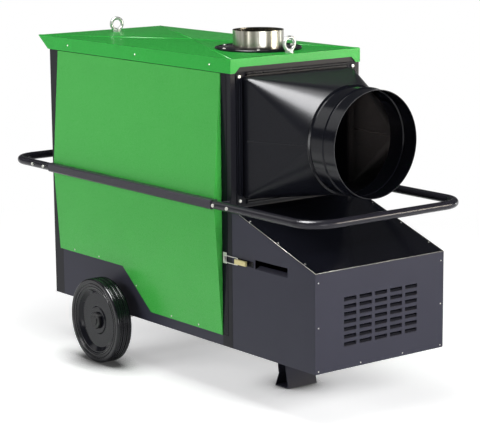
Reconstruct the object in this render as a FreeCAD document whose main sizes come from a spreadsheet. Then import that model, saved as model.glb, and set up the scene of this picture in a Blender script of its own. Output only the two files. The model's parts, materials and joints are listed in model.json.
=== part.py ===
import FreeCAD, Part
import math
import os
import re
import Sketcher

Vector = FreeCAD.Vector
Rotation = FreeCAD.Rotation
Placement = FreeCAD.Placement

# Frame: +X forward to the air outlet, +Y to the left, +Z up, floor at Z 0, millimetres.
sizes = {
    # body
    "body_width": 630, "body_floor": 197, "body_rear": -777, "body_front": 473,
    "sheet": 2, "pan_sheet": 3, "fit_gap": 0.3, "pan_lip": 30,
    "front_post_width": 60, "rear_post_width": 66, "post_leg": 22,
    # how far a cutting tool runs past what it cuts
    "overcut": 1, "tool_reach": 50,
    # lid
    "lid_top": 1297, "lid_skirt": 54, "lid_front_lap": 5, "lid_tail": 85, "lid_rear_lap": 11,
    "lid_crown": 8, "lid_notch_half": 274, "lid_notch_rise": 22, "lid_apex": 2,
    # side panel
    "panel_foot": 4, "panel_head": 2.5, "panel_ridge": 38, "panel_sheet": 1.4,
    "panel_low": 239, "panel_high": 400, "panel_slant_rear": -242, "panel_slant_front": -61,
    # outlet
    "outlet_height": 1000, "outlet_radius": 200, "outlet_wall": 2, "hood_length": 314, "collar_length": 141,
    "outlet_bead": 4, "bead_from_hood": 75, "outlet_bead_half": 7, "outlet_hem": 7,
    "hood_half": 262, "hood_low": 772, "hood_high": 1226, "hood_corner": 12, "hood_tip": 3, "hood_neck": 29,
    "flange_margin": 28, "flange_sheet": 4, "flange_foot": 32, "flange_head": 22,
    "hood_bolt_inset": 12, "hood_bolt_low": 10, "hood_bolt_high": 4,
    "strip_width": 18, "strip_depth": 7, "strip_wall": 1.5, "strip_inset": 16,
    # flue and lifting eyes
    "flue_x": 242, "flue_radius": 99.5, "flue_wall": 1, "flue_foot": 1307, "flue_top": 1373, "flue_step": 1.5,
    "rosette_radius": 169, "rosette_rise": 9, "rosette_hem": 7,
    "eye_inset": 40, "eye_ring": 24.5, "eye_bar": 7, "eye_collar": 17.5,
    "eye_collar_rise": 9, "eye_centre_rise": 33, "eye_shank": 8, "eye_turn": 12,
    "beam_width": 50, "beam_depth": 44, "beam_wall": 4,
    # rail
    "rail_height": 755.5, "rail_half": 372, "rail_front_reach": 542.5, "rail_rear_reach": 238.5,
    "rail_bend": 104, "rail_tube": 16.5, "rail_bar": 17.5, "rail_wall": 2.5, "rail_bevel": 5,
    "rail_front_inset": 33, "rail_rear_inset": 80,
    "spigot_gap": 0.15, "spigot_length": 120, "rail_bolt": 4, "rail_bolt_head": 7, "rail_bolt_rise": 5,
    "bolt_front_inset": 16.4, "bolt_rear_inset": 41.6, "bolt_front_pitch": 84.8, "bolt_rear_pitch": 85.9,
    "bolt_tail": 8, "bolt_tip": 4, "spacer_radius": 11, "bolt_gap": 0.2,
    # running gear
    "wheel_x": -304.4, "wheel_radius": 174.3, "wheel_outer": 433.5, "tyre_width": 70, "rim_radius": 132,
    "tyre_groove": 4, "tyre_grooves": 5, "tyre_shoulder": 8, "tyre_round": 8, "tyre_band": 18, "tyre_step": 2,
    "disc_sheet": 5, "disc_dish": 20, "hub_radius": 34, "rim_lip": 8, "rim_taper": 20,
    "axle_radius": 12, "running_gap": 0.05, "cap_radius": 34, "cap_depth": 9, "cap_button": 15,
    "cap_step": 3, "boss_radius": 54, "boss_rise": 4,
    "retainer_radius": 19, "retainer_width": 5, "bracket_y": 300, "bracket_width": 10, "bracket_length": 90,
    "foot_front": 507, "foot_rear": 426, "foot_half": 72, "foot_sheet": 4, "foot_lean": 14,
    "foot_heel": 5.2, "foot_toe": 4.8, "foot_waist": 447, "foot_waist_height": 52, "foot_knee": 78,
    "foot_shin": 5, "foot_calf": 2,
    # burner cover
    "cover_length": 487, "cover_low_top": 569, "cover_high_top": 735, "cover_gap": 1.5, "cover_sheet": 2,
    "ledge": 24, "louvre_width": 59, "louvre_height": 16, "louvre_pitch": 28, "louvre_column": 74.75,
    "louvre_rows": 7, "louvre_columns": 5, "louvre_top": 464, "louvre_depth": 11, "louvre_flap": 1.5,
    "grip_start": 141, "grip_length": 190, "grip_low": 528, "grip_high": 564,
    "grip_depth": 22, "grip_rise": 12,
    # latch
    "latch_height": 543, "latch_start": 39, "latch_pivot_out": 11, "latch_arm": 8, "latch_reach": 82,
    "lever_length": 64, "lever_tail": 3.5, "lever_half": 9, "lever_wall": 1.2, "lever_depth": 8,
    "lever_crown": 3.5, "latch_pin": 2, "latch_pin_proud": 0.8, "ear_half": 5, "ear_head": 3.4,
    "ear_width": 7, "bail_wire": 1.5, "bail_half": 13, "keeper_wall": 2, "keeper_half": 21,
    "keeper_tongue": 8, "keeper_gap": 0.3, "keeper_width": 20, "latch_plate": 1.5,
    "latch_plate_tail": 8, "latch_plate_length": 92, "latch_plate_margin": 2,
    # air fan
    "fan_height": 720, "intake_radius": 250, "fan_radius": 238, "fan_hub": 62, "fan_inset": 55,
    "fan_width": 56, "fan_blade": 2.5, "fan_blades": 7, "blade_root": 4, "blade_pitch": 50, "blade_twist": 24,
    "blade_width": 51.5, "shroud_depth": 130, "motor_radius": 80, "motor_gap": 26, "motor_length": 165,
    "fan_shaft": 10, "shaft_seat": 40, "shaft_bore": 50, "pedestal_half": 62, "pedestal_lip": 44,
    "pedestal_wall": 5, "pedestal_length": 90, "guard_wire": 2, "guard_rings": 7, "guard_bars": 4,
    "guard_stand": 16, "guard_lap": 6,
    # heat exchanger
    "burner_height": 430, "chamber_radius": 165, "chamber_wall": 3, "chamber_rear": -330,
    "gas_box_depth": 95, "gas_box_half": 190, "gas_box_top": 1130, "gas_wall": 3, "gas_port": 120,
    "tube_radius": 30, "tube_wall": 2, "tube_pitch": 84, "tube_low": 722, "tube_rows": 5, "tube_columns": 4,
    "flue_box_half": 104, "flue_box_rise": 115.5, "cradle_width": 8, "cradle_half": 150,
    "cradle_drop": 45, "cradle_foot": 60, "cradle_rear": 120, "cradle_front": 160,
    # burner
    "blast_radius": 60, "blast_wall": 3, "blast_reach": 93, "burner_flange": 92, "burner_flange_sheet": 8,
    "port_gap": 2, "burner_stand": 72, "burner_length": 190, "burner_half": 85, "volute_radius": 92,
    "burner_wall": 4, "throat_margin": 20, "blower_radius": 72, "blower_half": 40, "blower_blades": 16,
    "blower_disc": 4, "vane_depth": 16, "vane_sheet": 2, "vane_inset": 17, "blower_shaft": 6,
    "burner_motor_radius": 62, "burner_motor_length": 130, "pump_radius": 32, "pump_length": 60,
    "relay_height": 62, "relay_length": 90, "relay_half": 55,
    # control box at the rear
    "control_half": 110, "control_low": 245, "control_high": 420, "control_depth": 70, "control_wall": 3,
    "knob_radius": 22, "knob_depth": 20, "knob_grip_half": 4, "knob_y": 55, "knob_rise": 110, "knob_stem": 4,
    "knob_tail": 4, "inlet_radius": 32, "inlet_y": -50, "inlet_rise": 80, "inlet_depth": 30, "inlet_wall": 4,
}

# Places that follow from the sizes.
places = {
    "half": "body_width / 2",
    "roof": "lid_top - sheet - fit_gap",
    "deck": "body_floor + pan_sheet",
    "front_post": "body_front - front_post_width",
    "rear_post": "body_rear + rear_post_width",
    "lid_front": "body_front + lid_front_lap",
    "lid_rear": "body_rear - lid_tail",
    "lid_rear_foot": "body_rear - lid_rear_lap",
    "lid_low": "lid_top - lid_skirt",
    "flange_face": "body_front + flange_sheet",
    "outlet_start": "body_front + hood_length",
    "hood_bolt_y": "hood_half + flange_margin - hood_bolt_inset",
    "eye_front_x": "body_front - eye_inset",
    "eye_rear_x": "body_rear + eye_inset",
    "rail_front_joint": "body_front - rail_front_inset",
    "rail_rear_joint": "body_rear + rail_rear_inset",
    "rail_front_end": "body_front + rail_front_reach",
    "rail_rear_end": "body_rear - rail_rear_reach",
    "bolt_front_near": "body_front - bolt_front_inset",
    "bolt_front_far": "bolt_front_near + bolt_front_pitch",
    "bolt_rear_near": "body_rear + bolt_rear_inset",
    "bolt_rear_far": "bolt_rear_near - bolt_rear_pitch",
    "hub_face": "wheel_outer - cap_depth - retainer_width - 2 * fit_gap",
    "cover_rear": "body_front + cover_gap",
    "cover_front": "body_front + cover_length",
    "slope": "(cover_high_top - cover_low_top) / cover_length",
    "slope_sheet": "cover_sheet * sqrt(1 + pow(slope; 2))",
    "grip_rear": "body_front + grip_start",
    "grip_front": "grip_rear + grip_length",
    "latch_out": "half + latch_pivot_out",
    "latch_pivot_x": "body_front + latch_start",
    "lever_front": "latch_pivot_x + lever_length",
    "latch_plate_front": "latch_pivot_x + latch_plate_length",
    "bail_x": "latch_pivot_x + latch_arm",
    "fan_rear": "body_rear + fan_inset",
    "motor_rear": "fan_rear + fan_width + motor_gap",
    "flue_box_rear": "flue_x - flue_box_half",
    "flue_box_front": "flue_x + flue_box_half",
    "blast_rear": "body_front - blast_reach",
    "burner_rear": "body_front + burner_stand",
    "burner_middle": "burner_rear + burner_length / 2",
    "throat_half": "blast_radius + throat_margin",
    "control_rear": "body_rear - control_depth",
    "knob_z": "control_low + knob_rise",
}

doc = FreeCAD.newDocument("construction_heater")
dims = doc.addObject("Spreadsheet::Sheet", "dims")
for row, (alias, number) in enumerate(sizes.items(), start=1):
    dims.set("A%d" % row, alias)
    dims.set("B%d" % row, str(number))
    dims.setAlias("B%d" % row, alias)
doc.recompute()

nodes = {}


def size(alias):
    return float(dims.get(alias))


def bound(text):
    # Names in an expression become references to the sheet's cells, or the expression of a place.
    return re.sub(r"[a-z][a-z_]*", reference, text)


def reference(word):
    name = word.group()
    if name in places:
        return "(%s)" % bound(places[name])
    return "dims." + name if name in sizes else name


def bind(item, path, text):
    item.setExpression(path, bound(str(text)))


def place(item, x="0", y="0", z="0", turn=None):
    if turn:
        item.Placement = Placement(Vector(), Rotation(*turn))
    for letter, text in (("x", x), ("y", y), ("z", z)):
        bind(item, "Placement.Base." + letter, text)
    return item


def node(label, item):
    item.Label = label
    nodes[label] = item
    return item


def sided(side, near, far):
    # Two Y positions in rising order: near and far measured outward from the middle plane.
    return (near, far) if side > 0 else ("-(%s)" % far, "-(%s)" % near)


def block(name, x, y, z):
    item = doc.addObject("Part::Box", name)
    for prop, (low, high) in (("Length", x), ("Width", y), ("Height", z)):
        bind(item, prop, "(%s) - (%s)" % (high, low))
    return place(item, x[0], y[0], z[0])


along = {"X": (Vector(0, 1, 0), 90), "Y": (Vector(1, 0, 0), -90), "Z": None}


def rod(name, axis, radius, span, centre):
    # centre: the two other coordinates in X, Y, Z order.
    item = doc.addObject("Part::Cylinder", name)
    bind(item, "Radius", radius)
    bind(item, "Height", "(%s) - (%s)" % (span[1], span[0]))
    first, second = centre
    spots = {"X": (span[0], first, second), "Y": (first, span[0], second), "Z": (first, second, span[0])}
    return place(item, *spots[axis], turn=along[axis])


def cut(name, base, tool):
    item = doc.addObject("Part::Cut", name)
    item.Base = base
    item.Tool = tool
    return item


def fuse(name, items):
    item = doc.addObject("Part::MultiFuse", name)
    item.Shapes = items
    item.Refine = True
    return item


def group(name, items):
    item = doc.addObject("Part::Compound", name)
    item.Links = items
    return item


def body(name):
    return doc.addObject("PartDesign::Body", name)


def sketch(owner, name, plane, offset, outlines=(), circles=()):
    drawing = owner.newObject("Sketcher::SketchObject", name)
    support = [item for item in owner.Origin.OriginFeatures if item.Role == plane + "_Plane"][0]
    drawing.AttachmentSupport = [(support, "")]
    drawing.MapMode = "FlatFace"
    bind(drawing, "AttachmentOffset.Base.z", offset)
    for outline in outlines:
        draw_outline(drawing, outline)
    for centre, radius in circles:
        ring = drawing.addGeometry(Part.Circle(Vector(1, 1, 0), Vector(0, 0, 1), 10), False)
        pin_point(drawing, ring, 3, centre, (1, 1))
        rule = drawing.addConstraint(Sketcher.Constraint("Radius", ring, 10))
        bind(drawing, "Constraints[%d]" % rule, radius)
    return drawing


def pin_point(drawing, edge, end, spot, start):
    for kind, text, value in (("DistanceX", spot[0], start[0]), ("DistanceY", spot[1], start[1])):
        rule = drawing.addConstraint(Sketcher.Constraint(kind, -1, 1, edge, end, value))
        bind(drawing, "Constraints[%d]" % rule, text)


def draw_outline(drawing, points):
    count = len(points)
    turns = [2 * math.pi * step / count for step in range(count)]
    start = [(100 * math.cos(turn), 100 * math.sin(turn)) for turn in turns]
    first = drawing.GeometryCount
    for step in range(count):
        ends = [Vector(*start[(step + more) % count], 0) for more in (0, 1)]
        drawing.addGeometry(Part.LineSegment(*ends), False)
    for step in range(count):
        following = first + (step + 1) % count
        drawing.addConstraint(Sketcher.Constraint("Coincident", first + step, 2, following, 1))
        pin_point(drawing, first + step, 1, points[step], start[step])


def pad(owner, drawing, length):
    feature = owner.newObject("PartDesign::Pad", drawing.Name + "_pad")
    feature.Profile = drawing
    bind(feature, "Length", length)
    return feature


def pocket(owner, drawing):
    feature = owner.newObject("PartDesign::Pocket", drawing.Name + "_pocket")
    feature.Profile = drawing
    feature.Type = "ThroughAll"
    feature.Midplane = True
    return feature


def plate(name, plane, span, outlines, circles=()):
    # A profile drawn on XY, XZ or YZ and padded over span along the remaining axis.
    owner = body(name)
    start = "-(%s)" % span[1] if plane == "XZ" else span[0]
    drawing = sketch(owner, name + "_outline", plane, start, outlines, circles)
    pad(owner, drawing, "(%s) - (%s)" % (span[1], span[0]))
    return owner


def turned(name, outline):
    # A profile of (radius, height) points turned about the body's own Z axis.
    owner = body(name)
    drawing = sketch(owner, name + "_profile", "XZ", "0", [outline])
    feature = owner.newObject("PartDesign::Revolution", name + "_turn")
    feature.Profile = drawing
    feature.ReferenceAxis = (drawing, ["V_Axis"])
    feature.Angle = 360
    return owner


def rectangle(u, v):
    return [(u[0], v[0]), (u[1], v[0]), (u[1], v[1]), (u[0], v[1])]


left, right = 1, -1
sides = ((left, "left"), (right, "right"))


def make_base_pan():
    wide = "half - sheet - fit_gap"
    floor = block("pan_floor", ("body_rear + pan_sheet", "cover_front - cover_sheet - fit_gap"),
                  ("-(%s)" % wide, wide), ("body_floor", "deck"))
    lips = []
    notches = []
    for side, word in sides:
        lips.append(block("pan_lip_" + word, ("body_rear + pan_sheet", "body_front - pan_sheet - fit_gap"),
                          sided(side, wide + " - sheet", wide), ("body_floor", "body_floor + pan_lip")))
        notches.append(block("pan_notch_" + word, ("body_front - sheet - fit_gap", "body_front + fit_gap"),
                             sided(side, "half - post_leg - fit_gap", "half"),
                             ("body_floor - overcut", "deck + overcut")))
    node("base_pan", cut("base_pan", fuse("pan_whole", [floor] + lips), group("pan_notches", notches)))


def make_liners():
    liners = [block("liner_" + word, ("rear_post", "front_post"), sided(side, "half - sheet", "half"),
                    ("body_floor", "lid_low - sheet")) for side, word in sides]
    node("side_liners", group("side_liners", liners))


def post_holes(name):
    holes = []
    for side, word in sides:
        for end in ("front", "rear"):
            holes.append(rod("%s_%s_%s" % (name, end, word), "Y", "rail_bolt + bolt_gap",
                             sided(side, "half - tool_reach", "rail_half + tool_reach"),
                             ("bolt_%s_near" % end, "rail_height")))
    return group(name, holes)


def make_posts():
    posts = []
    for side, word in sides:
        inner = "%s * (half - sheet)" % side
        outer = "%s * half" % side
        leg = "%s * (half - post_leg)" % side
        front = [("body_front", outer), ("front_post", outer), ("front_post", inner),
                 ("body_front - sheet", inner), ("body_front - sheet", leg), ("body_front", leg)]
        rear = [("body_rear", outer), ("rear_post", outer), ("rear_post", inner),
                ("body_rear + sheet", inner), ("body_rear + sheet", leg), ("body_rear", leg)]
        posts.append(plate("post_front_" + word, "XY", ("body_floor", "roof"), [front]))
        posts.append(plate("post_rear_" + word, "XY", ("body_floor", "roof"), [rear]))
    node("corner_posts", cut("corner_posts", group("posts_whole", posts), post_holes("post_hole")))


def make_bulkhead():
    width = "half - post_leg - fit_gap"
    outline = rectangle(("-(%s)" % width, width), ("deck", "roof"))
    opening = rectangle(("-(hood_half - outlet_wall)", "hood_half - outlet_wall"),
                        ("hood_low + outlet_wall", "hood_high - outlet_wall"))
    port = (("0", "burner_height"), "blast_radius + port_gap")
    wall = ("body_front - pan_sheet", "body_front")
    node("bulkhead", plate("bulkhead", "YZ", wall, [outline, opening], [port]))


def make_rear_panel():
    width = "half - post_leg - fit_gap"
    outline = rectangle(("-(%s)" % width, width), ("body_floor", "roof"))
    whole = plate("rear_plate", "YZ", ("body_rear", "body_rear + pan_sheet"), [outline],
                  [(("0", "fan_height"), "intake_radius")])
    ring = turned("rear_shroud", [("intake_radius", "0"), ("intake_radius + sheet", "0"),
                                  ("intake_radius + sheet", "pan_sheet + shroud_depth"),
                                  ("intake_radius", "pan_sheet + shroud_depth")])
    place(ring, "body_rear", "0", "fan_height", along["X"])
    node("rear_panel", fuse("rear_panel", [whole, ring]))


def crown(name, wall):
    # The cross-broken top: a very flat pyramid, drawn in and down by the wall for the inside.
    item = doc.addObject("Part::Wedge", name)
    middle = "(lid_front - lid_rear) / 2"
    wide = "half + fit_gap + sheet - (%s)" % wall
    extents = {
        "Xmin": wall, "Xmax": "lid_front - lid_rear - (%s)" % wall, "Ymin": "0", "Ymax": "lid_crown",
        "Zmin": "-(%s)" % wide, "Zmax": wide, "Z2min": "-lid_apex", "Z2max": "lid_apex",
        "X2min": middle + " - lid_apex", "X2max": middle + " + lid_apex",
    }
    for prop, text in extents.items():
        bind(item, prop, text)
    return place(item, "lid_rear", "0", "lid_top - (%s)" % wall, (Vector(1, 0, 0), 90))


def lid_block(name, wall, drop):
    wide = "half + fit_gap + sheet - (%s)" % wall
    low = "lid_low - (%s)" % drop
    high = "lid_top - (%s)" % wall
    outline = [("lid_front - (%s)" % wall, low), ("lid_front - (%s)" % wall, high),
               ("lid_rear + (%s)" % wall, high), ("lid_rear_foot + (%s)" % wall, low)]
    return fuse(name, [plate(name + "_profile", "XZ", ("-(%s)" % wide, wide), [outline]),
                       crown(name + "_crown", wall)])


def make_lid():
    shell = cut("lid_shell", lid_block("lid_outer", "0", "0"), lid_block("lid_inner", "sheet", "sheet"))
    foot = "lid_notch_half + lid_notch_rise"
    head = "lid_low + lid_notch_rise"
    outline = [("-(%s)" % foot, "lid_low - sheet"), ("-(%s)" % foot, "lid_low"), ("-lid_notch_half", head),
               ("lid_notch_half", head), (foot, "lid_low"), (foot, "lid_low - sheet")]
    openings = [plate("lid_notch", "YZ", ("body_front - sheet", "lid_front + sheet"), [outline])]
    depth = ("lid_low", "flue_top")
    openings.append(rod("lid_flue_hole", "Z", "flue_radius + bolt_gap", depth, ("flue_x", "0")))
    for end in ("front", "rear"):
        centre = ("eye_%s_x" % end, "0")
        openings.append(rod("lid_eye_hole_" + end, "Z", "eye_shank + bolt_gap", depth, centre))
    node("lid", cut("lid", shell, group("lid_openings", openings)))


def panel_block(name, side, wall):
    # A side panel folded along a ridge behind the rail, drawn in by the wall for the inside.
    high = "lid_low - sheet - (%s)" % wall
    rows = [("0", "panel_low"), ("panel_foot", "panel_low"), ("panel_ridge", "rail_height"),
            ("panel_head", high), ("0", high)]
    outline = [("%s * (half + %s - (%s))" % (side, out, wall), level) for out, level in rows]
    owner = plate(name, "YZ", ("rear_post + (%s)" % wall, "front_post - (%s)" % wall), [outline])
    # The lower edge follows the wheel: high over it, slanting down ahead of it.
    run = "(panel_slant_front - panel_slant_rear)"
    rise = "(panel_high - panel_low)"
    shift = "(%s) * (sqrt(pow(%s; 2) + pow(%s; 2)) - %s) / %s" % (wall, run, rise, run, rise)
    behind, ahead, below = "body_rear - tool_reach", "body_front + tool_reach", "body_floor - tool_reach"
    low_edge = "panel_low + (%s)" % wall
    high_edge = "panel_high + (%s)" % wall
    arch = [(behind, below), (ahead, below), (ahead, low_edge), ("panel_slant_front + " + shift, low_edge),
            ("panel_slant_rear + " + shift, high_edge), (behind, high_edge)]
    pocket(owner, sketch(owner, name + "_arch", "XZ", "0", [arch]))
    return owner


def make_side_panels():
    for side, word in sides:
        name = "side_panel_" + word
        outer = panel_block(name + "_outer", side, "0")
        inner = panel_block(name + "_inner", side, "panel_sheet")
        node(name, cut(name, outer, inner))


def hood_frame(x, wall):
    # Four straight sides joined by four corner arcs.
    corner = size("hood_corner") - wall
    reach = size("hood_half") - wall - corner
    high = size("hood_high") - wall - corner
    low = size("hood_low") + wall + corner
    centres = ((reach, high), (-reach, high), (-reach, low), (reach, low))
    arcs = []
    for step, (y, z) in enumerate(centres):
        turns = [(step + share) * math.pi / 2 for share in (0, 0.5, 1)]
        arcs.append([Vector(x, y + corner * math.cos(turn), z + corner * math.sin(turn)) for turn in turns])
    edges = []
    for step in range(4):
        edges.append(Part.makeLine(arcs[step - 1][2], arcs[step][0]))
        edges.append(Part.Arc(*arcs[step]).toShape())
    return Part.Wire(edges)


def hood_circle(x, wall):
    # The round end, split where the frame's sides and corners meet it.
    radius = size("outlet_radius") - wall
    tip = math.radians(size("hood_tip"))
    edges = []
    for step in range(4):
        middle = step * math.pi / 2
        after = middle + math.pi / 2
        side = (middle - tip, middle, middle + tip)
        corner = (middle + tip, (middle + after) / 2, after - tip)
        for turns in (side, corner):
            spots = [Vector(x, radius * math.cos(turn), size("outlet_height") + radius * math.sin(turn))
                     for turn in turns]
            edges.append(Part.Arc(*spots).toShape())
    return Part.Wire(edges)


def hood_skin(wall):
    # The same straight-ruled skin for the outside and, drawn in by the wall, for the inside.
    root = size("body_front") + size("flange_sheet")
    neck = size("hood_neck")
    mouth = hood_circle(size("body_front") + size("hood_length"), wall)
    taper = Part.makeLoft([hood_frame(root + neck, wall), mouth], True, True)
    sleeve = Part.Face(hood_frame(root, wall)).extrude(Vector(neck, 0, 0))
    return taper.fuse(sleeve)


def make_outlet_hood():
    hood = doc.addObject("Part::Feature", "outlet_hood")
    hood.Shape = hood_skin(0).cut(hood_skin(size("outlet_wall")))
    node("outlet_hood", hood)


hood_bolt_z = {"low": "hood_low - hood_bolt_low", "high": "hood_high + hood_bolt_high"}


def strip_profile(centre):
    # A clamp strip's section: two ribs with a groove between them.
    crest = "flange_face + strip_depth"
    groove = "flange_face + strip_depth / 3"
    rows = [("flange_face", "- strip_width / 2"), (crest, "- strip_width / 2 + strip_wall"),
            (crest, "- strip_wall"), (groove, ""), (crest, "+ strip_wall"),
            (crest, "+ strip_width / 2 - strip_wall"), ("flange_face", "+ strip_width / 2")]
    return [(x, "%s %s" % (centre, shift)) for x, shift in rows]


def make_outlet_flange():
    width = "hood_half + flange_margin"
    clear = "hood_half - outlet_wall"
    outline = rectangle(("-(%s)" % width, width), ("hood_low - flange_foot", "hood_high + flange_head"))
    opening = rectangle(("-(%s)" % clear, clear), ("hood_low + outlet_wall", "hood_high - outlet_wall"))
    holes = [(("%s * hood_bolt_y" % side, level), "rail_bolt + bolt_gap")
             for side, word in sides for level in hood_bolt_z.values()]
    wall = ("body_front", "flange_face")
    node("outlet_flange", plate("outlet_flange", "YZ", wall, [outline, opening], holes))
    strips = []
    bolts = []
    across = ("-(hood_half - strip_inset)", "hood_half - strip_inset")
    upright = ("hood_low + strip_inset", "hood_high - strip_inset")
    for end, level in (("low", "hood_low - flange_foot / 2"), ("high", "hood_high + flange_head / 2")):
        strips.append(plate("strip_" + end, "XZ", across, [strip_profile(level)]))
    for side, word in sides:
        edge = strip_profile("%s * (hood_half + flange_margin / 2)" % side)
        strips.append(plate("strip_" + word, "XY", upright, [edge]))
        for end, level in hood_bolt_z.items():
            name = "hood_bolt_%s_%s" % (end, word)
            centre = ("%s * hood_bolt_y" % side, level)
            rise = ("flange_face", "flange_face + rail_bolt_rise")
            shank = rod(name + "_shank", "X", "rail_bolt", wall, centre)
            head = hexagon(name + "_head", "X", "rail_bolt_head", rise, centre)
            bolts.append(fuse(name, [shank, head]))
    node("clamp_strips", group("clamp_strips", strips))
    node("hood_bolts", group("hood_bolts", bolts))


def hexagon(name, axis, radius, span, centre):
    item = doc.addObject("Part::Prism", name)
    item.Polygon = 6
    bind(item, "Circumradius", radius)
    bind(item, "Height", "(%s) - (%s)" % (span[1], span[0]))
    first, second = centre
    spots = {"X": (span[0], first, second), "Y": (first, span[0], second), "Z": (first, second, span[0])}
    return place(item, *spots[axis], turn=along[axis])


def make_outlet_collar():
    # A rolled tube with a hem where it meets the hood and a bead for the hose strap.
    outer = "outlet_radius"
    inner = "outlet_radius - outlet_wall"
    hem = "outlet_radius + outlet_hem"
    bead = [("0", "bead_from_hood - outlet_bead_half"),
            ("outlet_bead", "bead_from_hood - outlet_bead_half / 2"),
            ("outlet_bead", "bead_from_hood + outlet_bead_half / 2"),
            ("0", "bead_from_hood + outlet_bead_half")]
    outline = [(inner, "0"), (hem, "0"), (hem, "outlet_hem / 2"), (outer, "outlet_hem")]
    outline += [("%s + %s" % (outer, rise), level) for rise, level in bead]
    outline += [(outer, "collar_length"), (inner, "collar_length")]
    outline += [("%s + %s" % (inner, rise), level) for rise, level in reversed(bead)]
    collar = turned("outlet_collar", outline)
    node("outlet_collar", place(collar, "outlet_start", "0", "outlet_height", along["X"]))


def make_flue():
    riser = "flue_radius - flue_step"
    seat = "flue_foot + flue_wall"
    outline = [(riser + " - flue_wall", "gas_box_top"), (riser, "gas_box_top"), (riser, "flue_foot"),
               ("flue_radius", "flue_foot"), ("flue_radius", "flue_top"),
               ("flue_radius - flue_wall", "flue_top"),
               ("flue_radius - flue_wall", seat), (riser + " - flue_wall", seat)]
    node("flue_collar", place(turned("flue_collar", outline), "flue_x"))
    bore = "flue_radius + bolt_gap"
    disc = turned("rosette_disc", [(bore, "lid_top"), ("rosette_radius", "lid_top"),
                                   ("rosette_radius", "lid_top + rosette_rise - rosette_hem / 2"),
                                   ("rosette_radius - rosette_hem", "lid_top + rosette_rise"),
                                   (bore, "lid_top + rosette_rise")])
    node("flue_rosette", cut("flue_rosette", place(disc, "flue_x"), crown("rosette_seat", "0")))


def eye_seat(end):
    reach = "lid_front - eye_front_x + eye_collar" if end == "front" else "eye_rear_x - lid_rear + eye_collar"
    return "lid_top + lid_crown * (%s) * 2 / (lid_front - lid_rear)" % reach


def make_lifting_eyes():
    eyes = []
    beams = []
    low = "roof - beam_depth"
    long = "half - sheet - fit_gap"
    for end in ("front", "rear"):
        centre = "eye_%s_x" % end
        seat = eye_seat(end)
        turn = 90 if end == "front" else 90 - size("eye_turn")
        upright = Rotation(Vector(0, 0, 1), turn).multiply(Rotation(Vector(1, 0, 0), 90))
        ring = doc.addObject("Part::Torus", "eye_ring_" + end)
        bind(ring, "Radius1", "eye_ring")
        bind(ring, "Radius2", "eye_bar")
        ring.Placement = Placement(Vector(), upright)
        place(ring, centre, "0", seat + " + eye_centre_rise")
        rise = (seat, seat + " + eye_collar_rise")
        collar = rod("eye_collar_" + end, "Z", "eye_collar", rise, (centre, "0"))
        shank = rod("eye_shank_" + end, "Z", "eye_shank", (low, seat), (centre, "0"))
        eyes.append(fuse("lifting_eye_" + end, [ring, collar, shank]))
        web = "roof - beam_wall"
        inside = "(beam_width / 2 - beam_wall)"
        channel = [("- beam_width / 2", low), ("- " + inside, low), ("- " + inside, web),
                   ("+ " + inside, web), ("+ " + inside, low), ("+ beam_width / 2", low),
                   ("+ beam_width / 2", "roof"), ("- beam_width / 2", "roof")]
        outline = [("%s %s" % (centre, shift), level) for shift, level in channel]
        beam = plate("beam_whole_" + end, "XZ", ("-(%s)" % long, long), [outline])
        hole = rod("beam_hole_" + end, "Z", "eye_shank", (low, "lid_top"), (centre, "0"))
        beams.append(cut("beam_" + end, beam, hole))
    node("lifting_eyes", group("lifting_eyes", eyes))
    node("roof_beams", group("roof_beams", beams))


def bow_core(name, end, radius):
    sign = 1 if end == "front" else -1
    joint = "rail_%s_joint" % end
    corner = "rail_%s_end - %d * rail_bend" % (end, sign)
    pieces = []
    for side, word in sides:
        span = (joint, corner) if sign > 0 else (corner, joint)
        centre = ("%s * rail_half" % side, "rail_height")
        pieces.append(rod("%s_leg_%s" % (name, word), "X", radius, span, centre))
        bend = doc.addObject("Part::Torus", "%s_bend_%s" % (name, word))
        bind(bend, "Radius1", "rail_bend")
        bind(bend, "Radius2", radius)
        bind(bend, "Angle3", "90")
        quarter = {(1, 1): 0, (-1, 1): 90, (-1, -1): 180, (1, -1): 270}[(sign, side)]
        place(bend, corner, "%s * (rail_half - rail_bend)" % side, "rail_height", (Vector(0, 0, 1), quarter))
        pieces.append(bend)
    pieces.append(rod(name + "_cross", "Y", radius, ("rail_bend - rail_half", "rail_half - rail_bend"),
                      ("rail_%s_end" % end, "rail_height")))
    return fuse(name, pieces)


def rail_holes(name):
    holes = []
    for side, word in sides:
        for spot in ("front_near", "front_far", "rear_near", "rear_far"):
            holes.append(rod("%s_%s_%s" % (name, spot, word), "Y", "rail_bolt + bolt_gap",
                             sided(side, "half", "rail_half + tool_reach"), ("bolt_" + spot, "rail_height")))
    return group(name, holes)


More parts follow.
